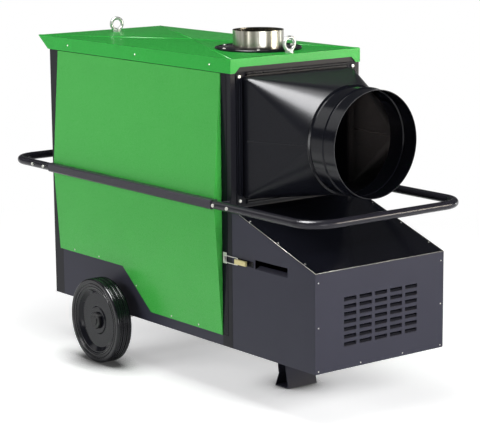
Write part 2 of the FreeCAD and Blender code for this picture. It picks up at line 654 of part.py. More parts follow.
def make_rail():
    for end in ("front", "rear"):
        name = end + "_bow"
        outer = bow_core(name + "_outer", end, "rail_tube")
        inner = bow_core(name + "_inner", end, "rail_tube - rail_wall")
        node(name, cut(name, cut(name + "_tube", outer, inner), rail_holes(name + "_holes")))
    bars = []
    spacers = []
    bolts = []
    for side, word in sides:
        middle = ("%s * rail_half" % side, "rail_height")
        bar = plate("side_bar_" + word, "YZ", ("rail_rear_joint", "rail_front_joint"), [rail_section(side)])
        spigots = []
        for end in ("front", "rear"):
            joint = "rail_%s_joint" % end
            near = "bolt_%s_near" % end
            tag = "%s_%s" % (end, word)
            span = (joint, joint + " + spigot_length")
            if end == "rear":
                span = (joint + " - spigot_length", joint)
            spigots.append(rod("spigot_" + tag, "X", "rail_tube - rail_wall - spigot_gap", span, middle))
            foot = rod("spacer_" + tag, "Y", "spacer_radius", sided(side, "half", "rail_half"),
                       (near, "rail_height"))
            seat = rod("spacer_seat_" + tag, "X", "rail_tube",
                       (near + " - tool_reach", near + " + tool_reach"), middle)
            spacers.append(cut("spacer_cut_" + tag, foot, seat))
            bolts.append(rail_bolt("rail_bolt_near_" + tag, side, near, "half - sheet - bolt_tail"))
            bolts.append(rail_bolt("rail_bolt_far_" + tag, side, "bolt_%s_far" % end,
                                   "rail_half - rail_tube - bolt_tip"))
        bars.append(fuse("side_bar_whole_" + word, [bar] + spigots))
    node("side_rails", cut("side_rails", group("side_bars", bars), rail_holes("bar_holes")))
    node("rail_spacers", cut("rail_spacers", group("spacers", spacers), rail_holes("spacer_holes")))
    node("rail_bolts", group("rail_bolts", bolts))


def rail_section(side):
    # A square bar with bevelled edges.
    flat = "(rail_bar - rail_bevel)"
    corners = [("+ rail_bar", "+ " + flat), ("+ " + flat, "+ rail_bar"), ("- " + flat, "+ rail_bar"),
               ("- rail_bar", "+ " + flat), ("- rail_bar", "- " + flat), ("- " + flat, "- rail_bar"),
               ("+ " + flat, "- rail_bar"), ("+ rail_bar", "- " + flat)]
    return [("%s * (rail_half %s)" % (side, across), "rail_height " + up) for across, up in corners]


def rail_bolt(name, side, x, inner):
    face = "rail_half + rail_tube"
    centre = (x, "rail_height")
    shank = rod(name + "_shank", "Y", "rail_bolt", sided(side, inner, face + " + overcut"), centre)
    head = rod(name + "_head", "Y", "rail_bolt_head", sided(side, face, face + " + rail_bolt_rise"), centre)
    return fuse(name, [shank, head])


def make_running_gear():
    axle_end = "wheel_outer - cap_depth"
    centre = ("wheel_x", "wheel_radius")
    node("axle", rod("axle_bar", "Y", "axle_radius", ("-(%s)" % axle_end, axle_end), centre))
    brackets = []
    rings = []
    low = "wheel_radius - axle_radius - bracket_width"
    toe = "axle_radius + bracket_width"
    outline = [("wheel_x - bracket_length / 2", "body_floor"), ("wheel_x - (%s)" % toe, low),
               ("wheel_x + " + toe, low), ("wheel_x + bracket_length / 2", "body_floor")]
    seats = {"inner": "wheel_outer - tyre_width - retainer_width - fit_gap", "outer": "hub_face + fit_gap"}
    for side, word in sides:
        span = sided(side, "bracket_y - bracket_width", "bracket_y")
        brackets.append(plate("axle_bracket_" + word, "XZ", span, [outline], [(centre, "axle_radius")]))
        for spot, near in seats.items():
            name = "retainer_%s_%s" % (spot, word)
            span = sided(side, near, near + " + retainer_width")
            ring = rod(name + "_ring", "Y", "retainer_radius", span, centre)
            rings.append(cut(name, ring, rod(name + "_hole", "Y", "axle_radius", span, centre)))
        make_wheel(side, word)
    node("axle_brackets", group("axle_brackets", brackets))
    node("axle_retainers", group("axle_retainers", rings))


def tyre_outline():
    # From the rim out: bead, recessed wall, raised band, rounded shoulder, then the grooved tread.
    flank = [("rim_radius", "tyre_shoulder / 2 + tyre_step"), ("rim_radius + tyre_shoulder", "tyre_step"),
             ("wheel_radius - tyre_band - tyre_step", "tyre_step"), ("wheel_radius - tyre_band", "0")]
    for turn in (0, math.pi / 6, math.pi / 3, math.pi / 2):
        flank.append(("wheel_radius - tyre_round * %.6f" % (1 - math.sin(turn)),
                      "tyre_round * %.6f" % (1 - math.cos(turn))))
    step = "(tyre_width - 2 * tyre_round) / (2 * tyre_grooves + 1)"
    groove = "wheel_radius - tyre_groove"
    tread = []
    for count in range(int(size("tyre_grooves"))):
        level = "tyre_round + %s * %d" % (step, 2 * count + 1)
        tread += [("wheel_radius", level), (groove, "%s + %s / 4" % (level, step)),
                  (groove, "%s + %s * 3 / 4" % (level, step)), ("wheel_radius", "%s + %s" % (level, step))]
    return flank + tread + [(radius, "tyre_width - (%s)" % level) for radius, level in reversed(flank)]


def make_wheel(side, word):
    turn = (Vector(1, 0, 0), -90 * side)
    centre = ("wheel_x", "%s * (wheel_outer - tyre_width)" % side, "wheel_radius")
    node("tyre_" + word, place(turned("tyre_" + word, tyre_outline()), *centre, turn=turn))
    face = "tyre_width - disc_dish"
    bead = "tyre_shoulder / 2 + tyre_step"
    hub_high = "hub_face - (wheel_outer - tyre_width)"
    bore = "axle_radius + running_gap"
    disc = [(bore, "0"), ("hub_radius", "0"), ("hub_radius", face + " - disc_sheet"),
            ("rim_radius - rim_taper", face + " - disc_sheet"), ("rim_radius - rim_lip", bead),
            ("rim_radius", bead), ("rim_radius", "tyre_width - (%s)" % bead),
            ("rim_radius - rim_lip / 2", "tyre_width - (%s)" % bead),
            ("rim_radius - rim_lip", "tyre_width - tyre_shoulder - tyre_step"),
            ("rim_radius - rim_taper", face),
            ("boss_radius + boss_rise", face), ("boss_radius", face + " + boss_rise"),
            ("cap_radius", face + " + boss_rise"), ("cap_radius", hub_high), (bore, hub_high)]
    node("wheel_disc_" + word, place(turned("wheel_disc_" + word, disc), *centre, turn=turn))
    top = "tyre_width"
    cup = "retainer_radius + cap_depth / 2"
    cap = [(cup, hub_high), ("cap_radius", hub_high), ("cap_radius", top + " - 2 * cap_step"),
           ("cap_radius - cap_step", top + " - cap_step"), ("cap_button + cap_step", top + " - cap_step"),
           ("cap_button", top), ("0", top), ("0", top + " - cap_depth / 2"), (cup, top + " - cap_depth / 2")]
    node("hub_cap_" + word, place(turned("hub_cap_" + word, cap), *centre, turn=turn))


def make_foot():
    front = "foot_front - foot_lean"
    shin = "foot_waist - foot_shin"
    calf = "foot_knee + foot_calf"
    outer = [("foot_rear", "0"), ("foot_front", "0"), (front, "foot_knee"), (front, "body_floor"),
             (shin, "body_floor"), (shin, calf), ("foot_waist", "foot_waist_height")]
    inner = [("foot_rear + foot_heel", "foot_sheet"), ("foot_front - foot_toe", "foot_sheet"),
             (front + " - foot_sheet", "foot_knee"), (front + " - foot_sheet", "body_floor - foot_sheet"),
             (shin + " + foot_sheet", "body_floor - foot_sheet"), (shin + " + foot_sheet", calf),
             ("foot_waist + foot_sheet", "foot_waist_height")]
    node("support_foot", plate("support_foot", "XZ", ("-foot_half", "foot_half"), [outer, inner]))


def slope_height(x, drop):
    return "cover_low_top + (cover_front - (%s)) * slope - (%s)" % (x, drop)


def make_cover_sides():
    front = "cover_front - cover_sheet"
    outline = [("cover_rear", "body_floor"), (front, "body_floor"),
               (front, slope_height(front, "slope_sheet")),
               ("cover_rear", slope_height("cover_rear", "slope_sheet"))]
    slot = rectangle(("grip_rear", "grip_front"), ("grip_low", "grip_high"))
    for side, word in sides:
        wall = plate("cover_wall_" + word, "XZ", sided(side, "half - cover_sheet", "half"), [outline, slot])
        lip = [("half - cover_sheet", "grip_low - 2 * louvre_flap"), ("half", "grip_low"),
               ("half - grip_depth", "grip_low + grip_rise"),
               ("half - grip_depth - louvre_flap", "grip_low + grip_rise")]
        flap = plate("grip_flap_" + word, "YZ", ("grip_rear", "grip_front"),
                     [[("%s * (%s)" % (side, out), level) for out, level in lip]])
        ledge = block("cover_ledge_" + word, ("cover_rear", front),
                      sided(side, "half - cover_sheet - ledge", "half - cover_sheet"),
                      ("deck + fit_gap", "deck + fit_gap + cover_sheet"))
        node("cover_side_" + word, fuse("cover_side_" + word, [wall, flap, ledge]))


def make_cover_top():
    low_rear, low_front = [slope_height(x, "slope_sheet") for x in ("cover_rear", "cover_front")]
    high_rear, high_front = [slope_height(x, "0") for x in ("cover_rear", "cover_front")]
    outline = [("cover_rear", low_rear), ("cover_front", low_front),
               ("cover_front", high_front), ("cover_rear", high_rear)]
    node("cover_top", plate("cover_top", "XZ", ("-half", "half"), [outline]))


def make_cover_front():
    owner = body("cover_front")
    outline = rectangle(("-half", "half"), ("body_floor", slope_height("cover_front", "slope_sheet")))
    inside = "cover_front - cover_sheet"
    pad(owner, sketch(owner, "cover_front_outline", "YZ", inside, [outline]), "cover_sheet")
    start = "-louvre_column * (louvre_columns - 1) / 2 - louvre_width / 2"
    end = "-louvre_column * (louvre_columns - 1) / 2 + louvre_width / 2"
    low = "louvre_top - louvre_height"
    slot = sketch(owner, "louvre_slot", "YZ", "0", [rectangle((start, end), (low, "louvre_top"))])
    opening = pocket(owner, slot)
    flap = sketch(owner, "louvre_flap", "XZ", "-(%s)" % end,
                  [[("cover_front - cover_sheet", low + " - 2 * louvre_flap"), ("cover_front", low),
                    ("cover_front - louvre_depth", "louvre_top - louvre_flap"),
                    ("cover_front - louvre_depth - louvre_flap", "louvre_top - louvre_flap")]])
    blade = pad(owner, flap, "louvre_width")
    grid = owner.newObject("PartDesign::MultiTransform", "louvre_grid")
    grid.Originals = [opening, blade]
    steps = []
    for name, axis, pitch, count, back in (("across", "H_Axis", "louvre_column", "louvre_columns", False),
                                           ("down", "V_Axis", "louvre_pitch", "louvre_rows", True)):
        step = owner.newObject("PartDesign::LinearPattern", "louvre_" + name)
        step.Direction = (slot, [axis])
        step.Reversed = back
        bind(step, "Length", "%s * (%s - 1)" % (pitch, count))
        bind(step, "Occurrences", count)
        steps.append(step)
    grid.Transformations = steps
    owner.Tip = grid
    node("cover_front", owner)


def make_latches():
    bases = []
    keepers = []
    level = ("latch_height - ear_half", "latch_height + ear_half")
    plate_half = "lever_half + latch_plate_margin"
    pin_half = "lever_half + latch_pin_proud"
    for side, word in sides:
        pivot = ("latch_pivot_x", "%s * latch_out" % side)
        base = block("latch_plate_" + word, ("latch_pivot_x - latch_plate_tail", "latch_plate_front"),
                     sided(side, "half", "half + latch_plate"),
                     ("latch_height - (%s)" % plate_half, "latch_height + " + plate_half))
        ear = block("latch_ear_" + word, ("latch_pivot_x", "latch_pivot_x + ear_width"),
                    sided(side, "half", "latch_out"), level)
        head = rod("latch_ear_head_" + word, "Z", "ear_head", level, pivot)
        pin = rod("latch_pin_" + word, "Z", "latch_pin",
                  ("latch_height - (%s)" % pin_half, "latch_height + " + pin_half), pivot)
        bases.append(fuse("latch_base_" + word, [base, ear, head, pin]))
        make_lever(side, word, pivot)
        make_bail(side, word)
        keepers.append(make_keeper(side, word))
    node("latch_bases", group("latch_bases", bases))
    node("latch_keepers", group("latch_keepers", keepers))


def make_lever(side, word, pivot):
    # A folded channel, open towards the cover and at its rear end.
    name = "latch_lever_" + word
    rear = "latch_pivot_x - lever_tail"
    out = "latch_out + latch_pin + lever_crown"
    span = ("latch_height - lever_half", "latch_height + lever_half")
    through = (span[0] + " - overcut", span[1] + " + overcut")
    whole = block(name + "_whole", (rear, "lever_front"), sided(side, out + " - lever_depth", out), span)
    hollow = block(name + "_hollow", (rear + " - overcut", "lever_front - lever_wall"),
                   sided(side, out + " - lever_depth - overcut", out + " - lever_wall"),
                   (span[0] + " + lever_wall", span[1] + " - lever_wall"))
    pin_hole = rod(name + "_hole", "Z", "latch_pin + running_gap", through, pivot)
    bail_hole = rod(name + "_bail_hole", "Z", "bail_wire + running_gap", through, ("bail_x", pivot[1]))
    node(name, cut(name, whole, group(name + "_cuts", [hollow, pin_hole, bail_hole])))


def make_bail(side, word):
    name = "latch_bail_" + word
    end = "bail_x - latch_reach"
    y = "%s * latch_out" % side
    pieces = []
    for spot, sign in (("low", -1), ("high", 1)):
        level = "latch_height + %d * bail_half" % sign
        inner = "latch_height + %d * (lever_half - lever_wall)" % sign
        stub = (level, inner) if sign < 0 else (inner, level)
        pieces.append(rod("%s_wire_%s" % (name, spot), "X", "bail_wire", (end, "bail_x"), (y, level)))
        pieces.append(rod("%s_stub_%s" % (name, spot), "Z", "bail_wire", stub, ("bail_x", y)))
        for tip, x in (("end", end), ("pivot", "bail_x")):
            ball = doc.addObject("Part::Sphere", "%s_%s_%s" % (name, tip, spot))
            bind(ball, "Radius", "bail_wire")
            pieces.append(place(ball, x, y, level))
    span = ("latch_height - bail_half", "latch_height + bail_half")
    pieces.append(rod(name + "_bar", "Z", "bail_wire", span, (end, y)))
    node(name, fuse(name, pieces))


def make_keeper(side, word):
    face = "bail_x - latch_reach + bail_wire + keeper_gap"
    base = block("keeper_base_" + word, (face + " - keeper_width", face + " + keeper_wall"),
                 sided(side, "half", "half + keeper_wall"),
                 ("latch_height - keeper_half", "latch_height + keeper_half"))
    tongue = block("keeper_tongue_" + word, (face, face + " + keeper_wall"),
                   sided(side, "half", "latch_out + bail_wire"),
                   ("latch_height - keeper_tongue", "latch_height + keeper_tongue"))
    return fuse("keeper_" + word, [base, tongue])


def make_fan():
    centre = ("0", "fan_height")
    front = "fan_rear + fan_width"
    hub = rod("fan_hub_disc", "X", "fan_hub", ("fan_rear", front), centre)
    shaft = rod("fan_shaft_bar", "X", "fan_shaft", (front, "motor_rear + shaft_seat"), centre)
    blades = doc.addObject("Part::Feature", "fan_blades")
    blades.Shape = Part.makeCompound([fan_blade(step) for step in range(int(size("fan_blades")))])
    node("fan_impeller", fuse("fan_impeller", [hub, shaft, blades]))
    motor = rod("motor_can", "X", "motor_radius", ("motor_rear", "motor_rear + motor_length"), centre)
    bore = rod("motor_bore", "X", "fan_shaft + running_gap",
               ("motor_rear", "motor_rear + shaft_bore"), centre)
    node("fan_motor", cut("fan_motor", motor, bore))
    middle = "motor_rear + motor_length / 2"
    rear, front = middle + " - pedestal_length / 2", middle + " + pedestal_length / 2"
    inside = "pedestal_half - pedestal_wall"
    web = "fan_height - motor_radius - pedestal_wall"
    lip = "fan_height - pedestal_lip"
    fold = [("-pedestal_half", "deck"), ("-(%s)" % inside, "deck"), ("-(%s)" % inside, web), (inside, web),
            (inside, "deck"), ("pedestal_half", "deck"), ("pedestal_half", lip), ("-pedestal_half", lip)]
    legs = plate("pedestal_fold", "YZ", (rear, front), [fold])
    seat = rod("pedestal_seat", "X", "motor_radius", (rear + " - overcut", front + " + overcut"), centre)
    node("motor_pedestal", cut("motor_pedestal", legs, seat))


def fan_blade(step):
    # Three sections from hub to tip, pitched less and less towards the tip.
    middle = size("body_rear") + size("fan_inset") + size("fan_width") / 2
    thick = size("fan_blade") / 2
    root = size("fan_hub") - size("blade_root")
    wires = []
    for share in (0, 0.5, 1):
        radius = root + share * (size("fan_radius") - root)
        pitch = math.radians(size("blade_pitch") - size("blade_twist") * share)
        reach = size("blade_width") / math.sin(pitch) / 2
        corners = []
        for chordwise, across in ((-reach, -thick), (reach, -thick), (reach, thick), (-reach, thick)):
            x = middle + chordwise * math.sin(pitch) + across * math.cos(pitch)
            y = chordwise * math.cos(pitch) - across * math.sin(pitch)
            corners.append(Vector(x, y, radius))
        wires.append(Part.makePolygon(corners + corners[:1]))
    blade = Part.makeLoft(wires, True, True)
    blade.rotate(Vector(), Vector(1, 0, 0), 360 / size("fan_blades") * step)
    blade.translate(Vector(0, 0, size("fan_height")))
    return blade


def make_guard():
    # Flat rings on crossing bars, held off the rear panel by a leg at each bar's end.
    owner = body("intake_guard")
    reach = "intake_radius + guard_lap"
    rear = "body_rear - guard_stand"
    bars = int(size("guard_bars"))
    bar = sketch(owner, "guard_bar", "YZ", rear + " + guard_wire",
                 [rectangle(("-(%s)" % reach, reach), ("-guard_wire", "guard_wire"))])
    first = pad(owner, bar, "2 * guard_wire")
    polar(owner, "guard_spokes", first, bar, 180 - 180 / bars, bars)
    circles = []
    for step in range(1, int(size("guard_rings")) + 1):
        middle = "(%s) * %d / guard_rings" % (reach, step)
        circles += [(("0", "0"), middle + " - guard_wire"), (("0", "0"), middle + " + guard_wire")]
    pad(owner, sketch(owner, "guard_circles", "YZ", rear, [], circles), "2 * guard_wire")
    foot = sketch(owner, "guard_foot", "YZ", rear + " + guard_wire", [], [((reach, "0"), "guard_wire")])
    leg = pad(owner, foot, "guard_stand - guard_wire")
    polar(owner, "guard_legs", leg, foot, 360, 2 * bars)
    node("intake_guard", place(owner, "0", "0", "fan_height"))


def polar(owner, name, feature, drawing, angle, count):
    pattern = owner.newObject("PartDesign::PolarPattern", name)
    pattern.Originals = [feature]
    pattern.Axis = (drawing, ["N_Axis"])
    pattern.Angle = angle
    pattern.Occurrences = count
    owner.Tip = pattern
    return pattern


def make_heat_exchanger():
    centre = ("0", "burner_height")
    length = "body_front - pan_sheet - chamber_rear"
    inner = "chamber_radius - chamber_wall"
    port = "blast_radius + port_gap"
    drum = [("gas_port", "0"), ("chamber_radius", "0"), ("chamber_radius", length), (port, length),
            (port, length + " - chamber_wall"), (inner, length + " - chamber_wall"),
            (inner, "chamber_wall"), ("gas_port", "chamber_wall")]
    chamber = turned("combustion_chamber", drum)
    node("combustion_chamber", place(chamber, "chamber_rear", "0", "burner_height", along["X"]))
    cradles = []
    wide = ("-cradle_half", "cradle_half")
    for spot, x in (("rear", "chamber_rear + cradle_rear"), ("front", "body_front - cradle_front")):
        web = block("cradle_plate_" + spot, (x, x + " + cradle_width"), wide,
                    ("deck", "burner_height - cradle_drop"))
        foot = block("cradle_foot_" + spot, (x, x + " + cradle_foot"), wide, ("deck", "deck + cradle_width"))
        through = (x + " - overcut", x + " + cradle_width + overcut")
        seat = rod("cradle_seat_" + spot, "X", "chamber_radius", through, centre)
        cradles.append(cut("cradle_" + spot, fuse("cradle_fold_" + spot, [web, foot]), seat))
    node("chamber_cradles", group("chamber_cradles", cradles))
    make_gas_boxes(centre)
    tubes = []
    span = ("chamber_rear", "flue_box_rear")
    for row in range(int(size("tube_rows"))):
        for column in range(int(size("tube_columns"))):
            name = "gas_tube_%d_%d" % (row, column)
            axis = ("tube_pitch * (%d - (tube_columns - 1) / 2)" % column, "tube_low + tube_pitch * %d" % row)
            tubes.append(cut(name, rod(name + "_outer", "X", "tube_radius", span, axis),
                             rod(name + "_inner", "X", "tube_radius - tube_wall", span, axis)))
    node("exchanger_tubes", group("exchanger_tubes", tubes))


def make_gas_boxes(centre):
    box = gas_box("rear_gas", ("chamber_rear - gas_box_depth", "chamber_rear"),
                  "burner_height - chamber_radius")
    port = rod("rear_gas_port", "X", "gas_port",
               ("chamber_rear - gas_wall - overcut", "chamber_rear + overcut"), centre)
    node("rear_gas_box", cut("rear_gas_box", box, port))
    box = gas_box("flue_box_whole", ("flue_box_rear", "flue_box_front"), "burner_height + flue_box_rise")
    seat = rod("flue_box_seat", "X", "chamber_radius",
               ("flue_box_rear - overcut", "flue_box_front + overcut"), centre)
    port = rod("flue_box_port", "Z", "flue_radius - flue_step - flue_wall",
               ("gas_box_top - gas_wall - overcut", "gas_box_top + overcut"), ("flue_x", "0"))
    node("flue_gas_box", cut("flue_gas_box", box, group("flue_box_cuts", [seat, port])))


def gas_box(name, x, low):
    whole = block(name + "_outer", x, ("-gas_box_half", "gas_box_half"), (low, "gas_box_top"))
    inside = block(name + "_inner", (x[0] + " + gas_wall", x[1] + " - gas_wall"),
                   ("-gas_box_half + gas_wall", "gas_box_half - gas_wall"),
                   (low + " + gas_wall", "gas_box_top - gas_wall"))
    return cut(name + "_shell", whole, inside)


def make_burner():
    flange = "body_front + burner_flange_sheet"
    inner = "blast_radius - blast_wall"
    outline = [(inner, "blast_rear"), ("blast_radius", "blast_rear"), ("blast_radius", "body_front"),
               ("burner_flange", "body_front"), ("burner_flange", flange), ("blast_radius", flange),
               ("blast_radius", "burner_rear"), (inner, "burner_rear")]
    tube = turned("burner_tube", outline)
    node("burner_tube", place(tube, "0", "0", "burner_height", along["X"]))
    axis = ("burner_middle", "burner_height")
    wide = ("-burner_half", "burner_half")
    throat = block("burner_throat", ("burner_rear", "burner_middle"), wide,
                   ("burner_height - throat_half", "burner_height + throat_half"))
    volute = rod("burner_volute", "Y", "volute_radius", wide, axis)
    scroll = rod("burner_scroll", "Y", "volute_radius - burner_wall",
                 ("-burner_half + burner_wall", "burner_half - burner_wall"), axis)
    duct = rod("burner_duct", "X", inner, ("burner_rear - overcut", "burner_middle"), ("0", "burner_height"))
    hole = rod("burner_shaft_hole", "Y", "blower_shaft + running_gap",
               ("-burner_half - overcut", "burner_half + overcut"), axis)
    casting = fuse("burner_casting", [throat, volute])
    node("burner_housing", cut("burner_housing", casting, group("burner_cavity", [scroll, duct, hole])))
    make_blower(axis)
    motor = ("burner_half", "burner_half + burner_motor_length")
    node("burner_motor", rod("burner_motor", "Y", "burner_motor_radius", motor, axis))
    pump = ("-burner_half - pump_length", "-burner_half")
    node("fuel_pump", rod("fuel_pump", "Y", "pump_radius", pump, axis))
    top = "burner_height + throat_half"
    case = block("relay_case", ("burner_rear", "burner_rear + relay_length"), ("-relay_half", "relay_half"),
                 (top, top + " + relay_height"))
    seat = rod("relay_seat", "Y", "volute_radius", ("-relay_half - overcut", "relay_half + overcut"), axis)
    node("burner_relay", cut("burner_relay", case, seat))


def make_blower(axis):
    disc = rod("blower_back", "Y", "blower_radius", ("-blower_half", "-blower_half + blower_disc"), axis)
    spindle = rod("blower_spindle", "Y", "blower_shaft",
                  ("-burner_half + fit_gap", "burner_half - fit_gap"), axis)
    vanes = []
    count = int(size("blower_blades"))
    for step in range(count):
        turn = 2 * math.pi * step / count
        vane = doc.addObject("Part::Box", "blower_vane_%d" % step)
        bind(vane, "Length", "vane_depth")
        bind(vane, "Width", "2 * blower_half")
        bind(vane, "Height", "vane_sheet")
        vane.Placement = Placement(Vector(), Rotation(Vector(0, 1, 0), -math.degrees(turn)))
        vanes.append(place(vane, "burner_middle + %.6f * (blower_radius - vane_inset)" % math.cos(turn),
                           "-blower_half",
                           "burner_height + %.6f * (blower_radius - vane_inset)" % math.sin(turn)))
    node("blower_wheel", fuse("blower_wheel", [disc, spindle] + vanes))


def make_controls():
    case = block("control_case", ("control_rear", "body_rear"), ("-control_half", "control_half"),
                 ("control_low", "control_high"))
    hollow = block("control_hollow", ("control_rear + control_wall", "body_rear - control_wall"),
                   ("-control_half + control_wall", "control_half - control_wall"),
                   ("control_low + control_wall", "control_high - control_wall"))
    axis = ("knob_y", "knob_z")
    hole = rod("control_stem_hole", "X", "knob_stem + running_gap",
               ("control_rear - overcut", "control_rear + control_wall + overcut"), axis)
    node("control_box", cut("control_box", case, group("control_cuts", [hollow, hole])))
    face = "control_rear - fit_gap"
    disc = rod("knob_disc", "X", "knob_radius", (face + " - knob_depth / 2", face), axis)
    grip = block("knob_grip", (face + " - knob_depth", face),
                 ("knob_y - knob_grip_half", "knob_y + knob_grip_half"),
                 ("knob_z - knob_radius", "knob_z + knob_radius"))
    peg = rod("knob_peg", "X", "knob_stem", (face, "control_rear + control_wall + knob_tail"), axis)
    node("switch_knob", fuse("switch_knob", [disc, grip, peg]))
    axis = ("inlet_y", "control_low + inlet_rise")
    inlet = rod("inlet_body", "X", "inlet_radius", ("control_rear - inlet_depth", "control_rear"), axis)
    socket = rod("inlet_socket", "X", "inlet_radius - inlet_wall",
                 ("control_rear - inlet_depth - overcut", "control_rear - inlet_wall"), axis)
    node("power_inlet", cut("power_inlet", inlet, socket))


make_base_pan()
make_liners()
make_posts()
make_bulkhead()
make_rear_panel()
make_lid()
make_side_panels()
make_outlet_hood()
make_outlet_flange()
make_outlet_collar()
make_flue()
make_lifting_eyes()
make_rail()
make_running_gear()
make_foot()
make_cover_sides()
make_cover_top()
make_cover_front()
make_latches()
make_fan()
make_guard()
make_heat_exchanger()
make_burner()
make_controls()
doc.recompute()

faults = [item.Name for item in doc.Objects if "Invalid" in item.State or "Error" in item.State]
for label, item in nodes.items():
    if item.Shape.isNull() or not item.Shape.isValid() or not item.Shape.Solids:
        faults.append(label)
if faults:
    raise RuntimeError("not built: " + ", ".join(faults))

os.makedirs("parts", exist_ok=True)
for label, item in nodes.items():
    item.Shape.exportStep("parts/%s.step" % label)
print("%d nodes" % len(nodes))
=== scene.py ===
import json
import math

import bmesh
import bpy
from mathutils import Matrix, Vector


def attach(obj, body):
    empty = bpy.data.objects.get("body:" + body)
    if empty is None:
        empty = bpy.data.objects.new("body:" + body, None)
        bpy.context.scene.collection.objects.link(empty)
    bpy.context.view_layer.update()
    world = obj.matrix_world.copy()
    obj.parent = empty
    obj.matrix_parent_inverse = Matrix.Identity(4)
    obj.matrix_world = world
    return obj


mm = 0.001
forward, rearward, outward, upward = (1, 0, 0), (-1, 0, 0), (0, 1, 0), (0, 0, 1)
acrossX, acrossY, acrossZ = Vector(forward), Vector(outward), Vector(upward)

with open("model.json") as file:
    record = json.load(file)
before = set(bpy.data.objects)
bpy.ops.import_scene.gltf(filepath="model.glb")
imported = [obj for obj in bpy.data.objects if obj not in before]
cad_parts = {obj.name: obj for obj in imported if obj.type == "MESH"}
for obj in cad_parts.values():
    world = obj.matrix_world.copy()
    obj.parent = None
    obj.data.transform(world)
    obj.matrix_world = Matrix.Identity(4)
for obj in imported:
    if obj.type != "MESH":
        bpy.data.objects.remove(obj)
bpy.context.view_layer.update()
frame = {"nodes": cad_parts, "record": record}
nodes = frame["nodes"]
slotOf = {entry["node"]: entry["material_slot"] for entry in frame["record"]["subparts"]}
scene = bpy.context.scene
print("frame loaded:", len(nodes), "nodes")


# small helpers

def hexColour(text):
    # "#rrggbb" as linear light
    parts = [int(text[i:i + 2], 16) / 255 for i in (1, 3, 5)]
    linear = [v / 12.92 if v <= 0.04045 else ((v + 0.055) / 1.055) ** 2.4 for v in parts]
    return (*linear, 1.0)


def addNode(tree, kind, inputs=None, **settings):
    # an input that is another node's socket is linked, any other is set as a value
    node = tree.nodes.new(kind)
    for name, value in settings.items():
        setattr(node, name, value)
    for key, value in (inputs or {}).items():
        if isinstance(value, bpy.types.NodeSocket):
            tree.links.new(value, node.inputs[key])
        else:
            node.inputs[key].default_value = value
    return node


def newTree(name, inputs, output):
    # a Geometry Nodes tree with its named inputs and one output of geometry
    tree = bpy.data.node_groups.new(name, "GeometryNodeTree")
    for label, kind in inputs.items():
        tree.interface.new_socket(label, in_out="INPUT", socket_type="NodeSocket" + kind)
    tree.interface.new_socket(output, in_out="OUTPUT", socket_type="NodeSocketGeometry")
    return tree, addNode(tree, "NodeGroupInput").outputs


def newMaterial(name, **values):
    # values: what is the same all over the surface, on the shader's own sockets
    material = bpy.data.materials.new(name)
    material.use_nodes = True
    tree = material.node_tree
    shader = tree.nodes["Principled BSDF"]
    for key, value in values.items():
        shader.inputs[key.replace("_", " ")].default_value = value
    return material, tree, shader


def objectPlace(tree):
    return addNode(tree, "ShaderNodeTexCoord").outputs["Object"]


colourA, colourB, colourOut = 6, 7, 2  # sockets of a Mix node that mixes colours
noiseSpan = (0.3, 0.7)  # nearly all values of a noise lie in it


def paintColour(tree, shader, where, light, dark, patchMm):
    # cloudy drift between two close shades, as wide as patchMm
    noise = addNode(tree, "ShaderNodeTexNoise", {
        "Vector": where, "Scale": 1 / (patchMm * mm), "Detail": 3.0})
    mix = addNode(tree, "ShaderNodeMix", {
        0: noise.outputs["Fac"], colourA: hexColour(light), colourB: hexColour(dark)}, data_type="RGBA")
    tree.links.new(mix.outputs[colourOut], shader.inputs["Base Color"])


def paintSkin(tree, shader, where, grainMm, depthMm, rough, spread):
    # a fine grain: a soft bump, and a little drift of the roughness with it
    noise = addNode(tree, "ShaderNodeTexNoise", {
        "Vector": where, "Scale": 1 / (grainMm * mm), "Detail": 2.0})
    bump = addNode(tree, "ShaderNodeBump", {
        "Height": noise.outputs["Fac"], "Strength": 1.0, "Distance": depthMm * mm})
    tree.links.new(bump.outputs["Normal"], shader.inputs["Normal"])
    span = addNode(tree, "ShaderNodeMapRange", {
        "Value": noise.outputs["Fac"], "From Min": noiseSpan[0], "From Max": noiseSpan[1],
        "To Min": rough - spread, "To Max": rough + spread})
    tree.links.new(span.outputs["Result"], shader.inputs["Roughness"])


def dustFilm(tree, shader, steep, dull):
    # dust takes the mirror off the faces that look up; steep: where it starts and where it is full
    facing = addNode(tree, "ShaderNodeNewGeometry")
    rise = addNode(tree, "ShaderNodeSeparateXYZ", {"Vector": facing.outputs["Normal"]})
    dust = addNode(tree, "ShaderNodeMapRange", {
        "Value": rise.outputs["Z"], "From Min": steep[0], "From Max": steep[1], "To Max": dull})
    clean = shader.inputs["Roughness"].links[0].from_socket
    total = addNode(tree, "ShaderNodeMath", {0: clean, 1: dust.outputs["Result"]}, operation="ADD")
    tree.links.new(total.outputs[0], shader.inputs["Roughness"])


# materials, one function each

